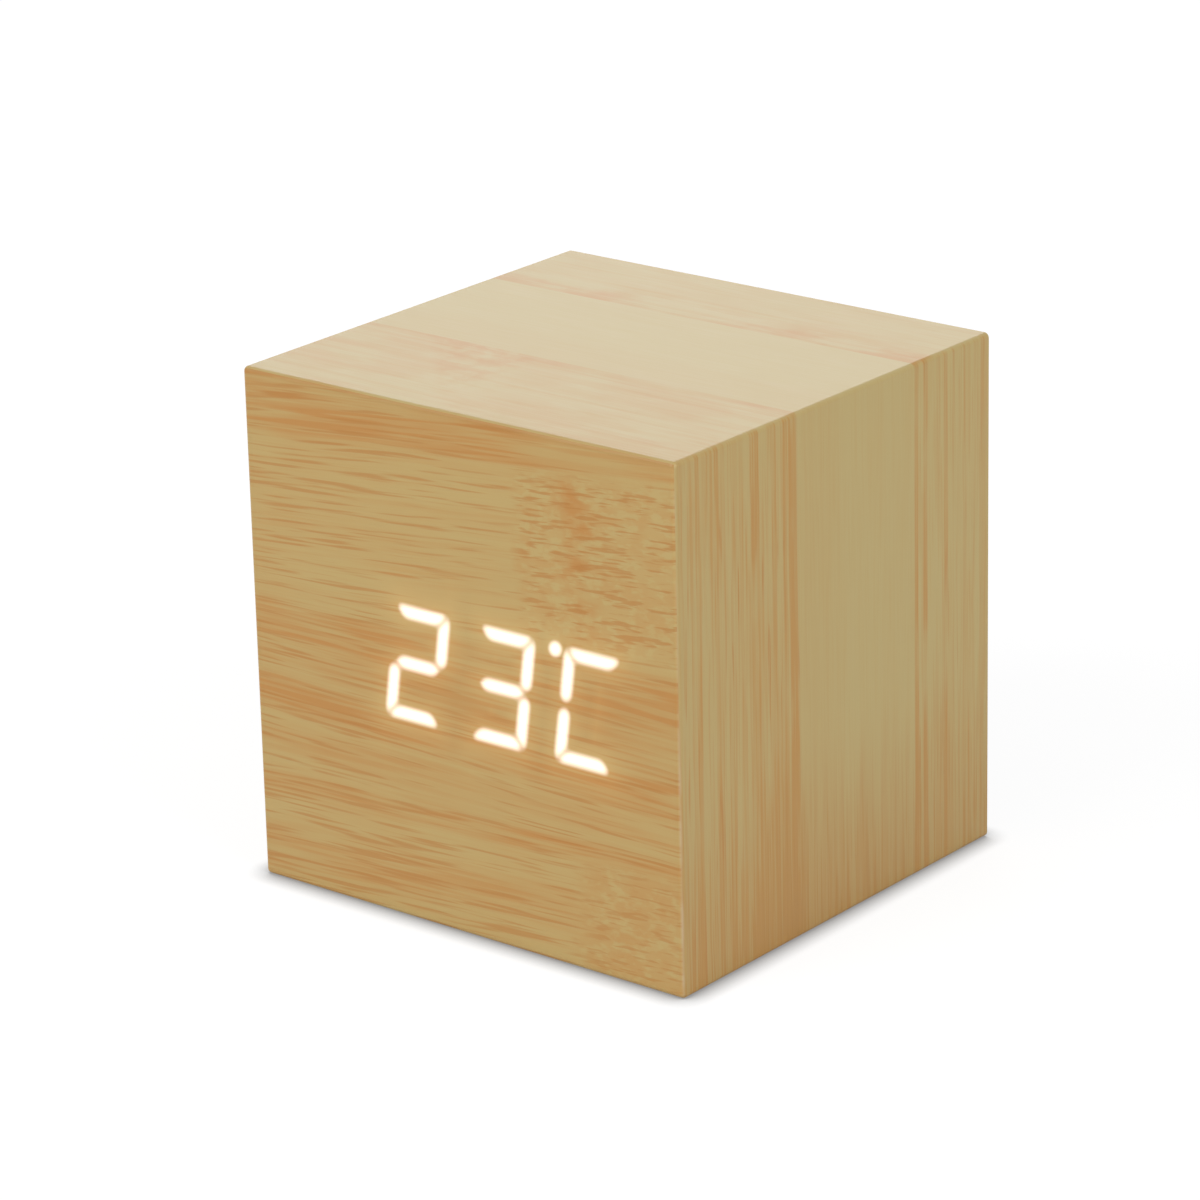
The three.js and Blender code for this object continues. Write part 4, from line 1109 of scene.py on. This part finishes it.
class CLOCK_OT_display(bpy.types.Operator):
    """Finishes the display behind the front, with what is soldered to it"""

    bl_idname = "clock.display"
    bl_label = "Display"

    def execute(self, context):
        dress(material(milky_plastic), "diffuser_sheet", "segment_mask")
        plate_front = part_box("display_board")[1].y - PLATE
        dress(material(diode_laminate, plate_front), "display_board")
        dress(material(moulded_black), "clock_chip", "alarm_buzzer")
        dress(material(plated_steel), "quartz_crystal", "sound_sensor")
        return {"FINISHED"}


class CLOCK_OT_back(bpy.types.Operator):
    """Moulds the rear panel and the battery door, with their marks, and finishes the corner blocks"""

    bl_idname = "clock.back"
    bl_label = "Back"

    def execute(self, context):
        back = context.scene.clock_back
        black = material(spark_textured_black, back)
        for node, body in (("rear_panel", CASE), ("battery_door", DOOR)):
            shape = moulded_copy(node, back.edge)
            even_normals(piece(f"moulded_{node}", shape, black, "black_plastic", body, node))
        dress(material(raw_fibreboard), *(f"corner_block_{corner}" for corner in CORNERS))

        stamped = material(stamped_white)
        for name in BUTTONS:
            low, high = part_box(f"{name}_button")
            middle = Vector(((low.x + high.x) / 2, panel_back, (low.z + door_top) / 2))
            if name == "set":
                shape = raised_ring(middle, back.mark, back.mark_rise)
            else:
                shape = raised_triangle(middle, back.mark, name == "up", back.mark_rise)
            piece(f"{name}_mark", shape, stamped, "white_plastic", CASE)
        middle = Vector((0, panel_back, door_top - back.arrow_drop))
        shape = raised_triangle(middle, back.arrow, False, back.mark_rise)
        piece("door_arrow", shape, black, "black_plastic", DOOR)
        return {"FINISHED"}


class CLOCK_OT_screws(bpy.types.Operator):
    """Makes the screws of the rear panel and of the display"""

    bl_idname = "clock.screws"
    bl_label = "Screws"

    def execute(self, context):
        steel = material(plated_steel)
        nodes = [f"rear_screw_{corner}" for corner in CORNERS]
        nodes += [f"display_screw_{number}" for number in range(1, 5)]
        for place, node in enumerate(nodes):
            shape = screw_shape(*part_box(node), SCREW_TURN * place)
            piece(f"threaded_{node}", shape, steel, "steel", CASE, node)
        return {"FINISHED"}


class CLOCK_OT_buttons(bpy.types.Operator):
    """Makes the three buttons and finishes the switches behind them"""

    bl_idname = "clock.buttons"
    bl_label = "Buttons"

    def execute(self, context):
        back = context.scene.clock_back
        rubbed = material(rubbed_button, back)
        for name in BUTTONS:
            node = f"{name}_button"
            piece(f"dished_{node}", button_shape(back, *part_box(node)), rubbed, "button_plastic", node, node)
            dress(material(plated_steel), f"{name}_switch")
            dress(material(moulded_black), f"{name}_plunger")
        return {"FINISHED"}


class CLOCK_OT_cells(bpy.types.Operator):
    """Makes the cells and finishes the contacts at their ends"""

    bl_idname = "clock.cells"
    bl_label = "Cells"

    def execute(self, context):
        cells = context.scene.clock_cells
        for number in range(1, 4):
            node = f"battery_cell_{number}"
            low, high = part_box(node)
            side = math.copysign(1, low.x + high.x)
            jacket = material(foil_jacket, cells, low, high, side, name=f"foil_jacket_{number}")
            piece(f"jacketed_{node}", cell_shape(cells, low, high, side), jacket, "cell_jacket", CASE, node)
        contacts = ("contact_positive", "contact_negative", "contact_link_1", "contact_link_2")
        dress(material(plated_steel), *contacts)
        return {"FINISHED"}


class CLOCK_OT_controls(bpy.types.Operator):
    """Finishes the control board, the power socket and the temperature sensor"""

    bl_idname = "clock.controls"
    bl_label = "Controls"

    def execute(self, context):
        dress(material(control_laminate), "control_board")
        dress(material(plated_steel), "socket_shell")
        dress(material(moulded_black), "socket_tongue", "temperature_sensor")
        return {"FINISHED"}


class CLOCK_OT_wiring(bpy.types.Operator):
    """Makes the two leads and the ribbon cable inside the case"""

    bl_idname = "clock.wiring"
    bl_label = "Wiring"

    def execute(self, context):
        red = material(wire_sleeve, (0.3, 0.015, 0.015), (0.42, 0.03, 0.025), name="red_sleeve")
        black = material(wire_sleeve, (0.012, 0.012, 0.013), (0.024, 0.024, 0.025), name="black_sleeve")
        grey = material(ribbon_sleeve)
        wiring = (
            ("lead_positive", red, "red_wire"),
            ("lead_negative", black, "black_wire"),
            ("ribbon_cable", grey, "grey_ribbon"),
        )
        for node, finish, slot in wiring:
            made = piece(f"smooth_{node}", smooth_sleeve(node), finish, slot, CASE, node)
            modifier = made.modifiers.new("smooth", "SUBSURF")
            modifier.levels = 1
            modifier.render_levels = 1
        return {"FINISHED"}


def lamp(name, watts, size, place, aim):
    """A square soft lamp that points at a place."""
    light = bpy.data.lights.new(name, "AREA")
    light.energy = watts
    light.size = size
    made = bpy.data.objects.new(name, light)
    made.location = place
    made.rotation_mode = "QUATERNION"
    made.rotation_quaternion = (aim - place).to_track_quat("-Z", "Y")
    bpy.context.scene.collection.objects.link(made)


def studio_floor(finish, stage):
    """White to the eye away from the object, with its shadow, and clear from below."""
    seen = finish.seen()
    below = finish.node("ShaderNodeNewGeometry", {}, {}, "Backfacing")
    plain = finish.node("ShaderNodeBsdfDiffuse", {}, {"Color": FLOOR_TONE})
    open_sky = finish.node("ShaderNodeAmbientOcclusion", {"samples": 16}, {"Distance": FLOOR_CONTACT}, "AO")
    white = finish.shade((1, 1, 1), (open_sky * CONTACT_GAIN + CONTACT_OFFSET).most(CONTACT_DARKEST))
    glow = finish.node("ShaderNodeEmission", {}, {"Color": white, "Strength": 1.0})
    lifted = finish.node("ShaderNodeMixShader", {}, {0: seen * stage.floor_glow, 1: plain, 2: glow})
    clear = finish.node("ShaderNodeBsdfTransparent", {}, {})
    shown = finish.node("ShaderNodeMixShader", {}, {0: below, 1: lifted, 2: clear})
    finish.node("ShaderNodeOutputMaterial", {}, {"Surface": shown})
    return finish.owner


class CLOCK_OT_stage(bpy.types.Operator):
    """Sets up the camera, the lamps, the floor and the background"""

    bl_idname = "clock.stage"
    bl_label = "Stage"

    def execute(self, context):
        scene = context.scene
        stage = scene.clock_stage
        scene.view_settings.view_transform = "Standard"

        camera = bpy.data.cameras.new("camera")
        camera.sensor_width = SENSOR
        camera.lens = stage.lens
        eye = bpy.data.objects.new("camera", camera)
        eye.location = stage.camera
        level = (Vector(stage.aim) - Vector(stage.camera)).to_track_quat("-Z", "Y")
        eye.rotation_mode = "QUATERNION"
        eye.rotation_quaternion = level @ Quaternion(UP, stage.roll)
        scene.collection.objects.link(eye)
        scene.camera = eye

        centre = Vector((0, 0, case_middle.z))
        for name, (size, place) in LAMPS.items():
            lamp(f"{name}_lamp", getattr(stage, name), size, place, centre)

        shape = bmesh.new()
        bmesh.ops.create_grid(shape, x_segments=1, y_segments=1, size=FLOOR_REACH)
        mesh = bpy.data.meshes.new("floor")
        shape.to_mesh(mesh)
        shape.free()
        mesh.materials.append(material(studio_floor, stage))
        floor = bpy.data.objects.new("floor", mesh)
        scene.collection.objects.link(floor)

        world = bpy.data.worlds.new("studio")
        scene.world = world
        around = Finish(world)
        strength = stage.ambient + around.seen() * (1 - stage.ambient)
        light = around.node("ShaderNodeBackground", {}, {"Color": (1, 1, 1), "Strength": strength})
        around.node("ShaderNodeOutputWorld", {}, {"Surface": light})
        return {"FINISHED"}


GROUPS = {
    "clock_film": ClockFilm,
    "clock_light": ClockLight,
    "clock_back": ClockBack,
    "clock_cells": ClockCells,
    "clock_stage": ClockStage,
}
OPERATORS = (
    CLOCK_OT_front,
    CLOCK_OT_wrap,
    CLOCK_OT_display,
    CLOCK_OT_back,
    CLOCK_OT_screws,
    CLOCK_OT_buttons,
    CLOCK_OT_cells,
    CLOCK_OT_controls,
    CLOCK_OT_wiring,
    CLOCK_OT_stage,
)


class CLOCK_PT_pieces(bpy.types.Panel):
    """Lists the clock's sizes and colours, and the operators that make its pieces"""

    bl_idname = "CLOCK_PT_pieces"
    bl_label = "Cube Table Clock"
    bl_space_type = "VIEW_3D"
    bl_region_type = "UI"
    bl_category = "Clock"

    def draw(self, context):
        for operator in OPERATORS:
            self.layout.operator(operator.bl_idname)
        for name, group in GROUPS.items():
            column = self.layout.column(heading=group.__doc__)
            for setting in group.__annotations__:
                column.prop(getattr(context.scene, name), setting)


def register():
    for item in (*GROUPS.values(), *OPERATORS, CLOCK_PT_pieces):
        bpy.utils.register_class(item)
    for name, group in GROUPS.items():
        setattr(bpy.types.Scene, name, bpy.props.PointerProperty(type=group))


def unregister():
    for name in GROUPS:
        delattr(bpy.types.Scene, name)
    for item in (CLOCK_PT_pieces, *reversed(OPERATORS), *GROUPS.values()):
        bpy.utils.unregister_class(item)


def main():
    register()
    bpy.ops.clock.stage()
    bpy.ops.clock.front()
    bpy.ops.clock.wrap()
    bpy.ops.clock.display()
    bpy.ops.clock.back()
    bpy.ops.clock.screws()
    bpy.ops.clock.buttons()
    bpy.ops.clock.cells()
    bpy.ops.clock.controls()
    bpy.ops.clock.wiring()


if __name__ == "__main__":
    main()
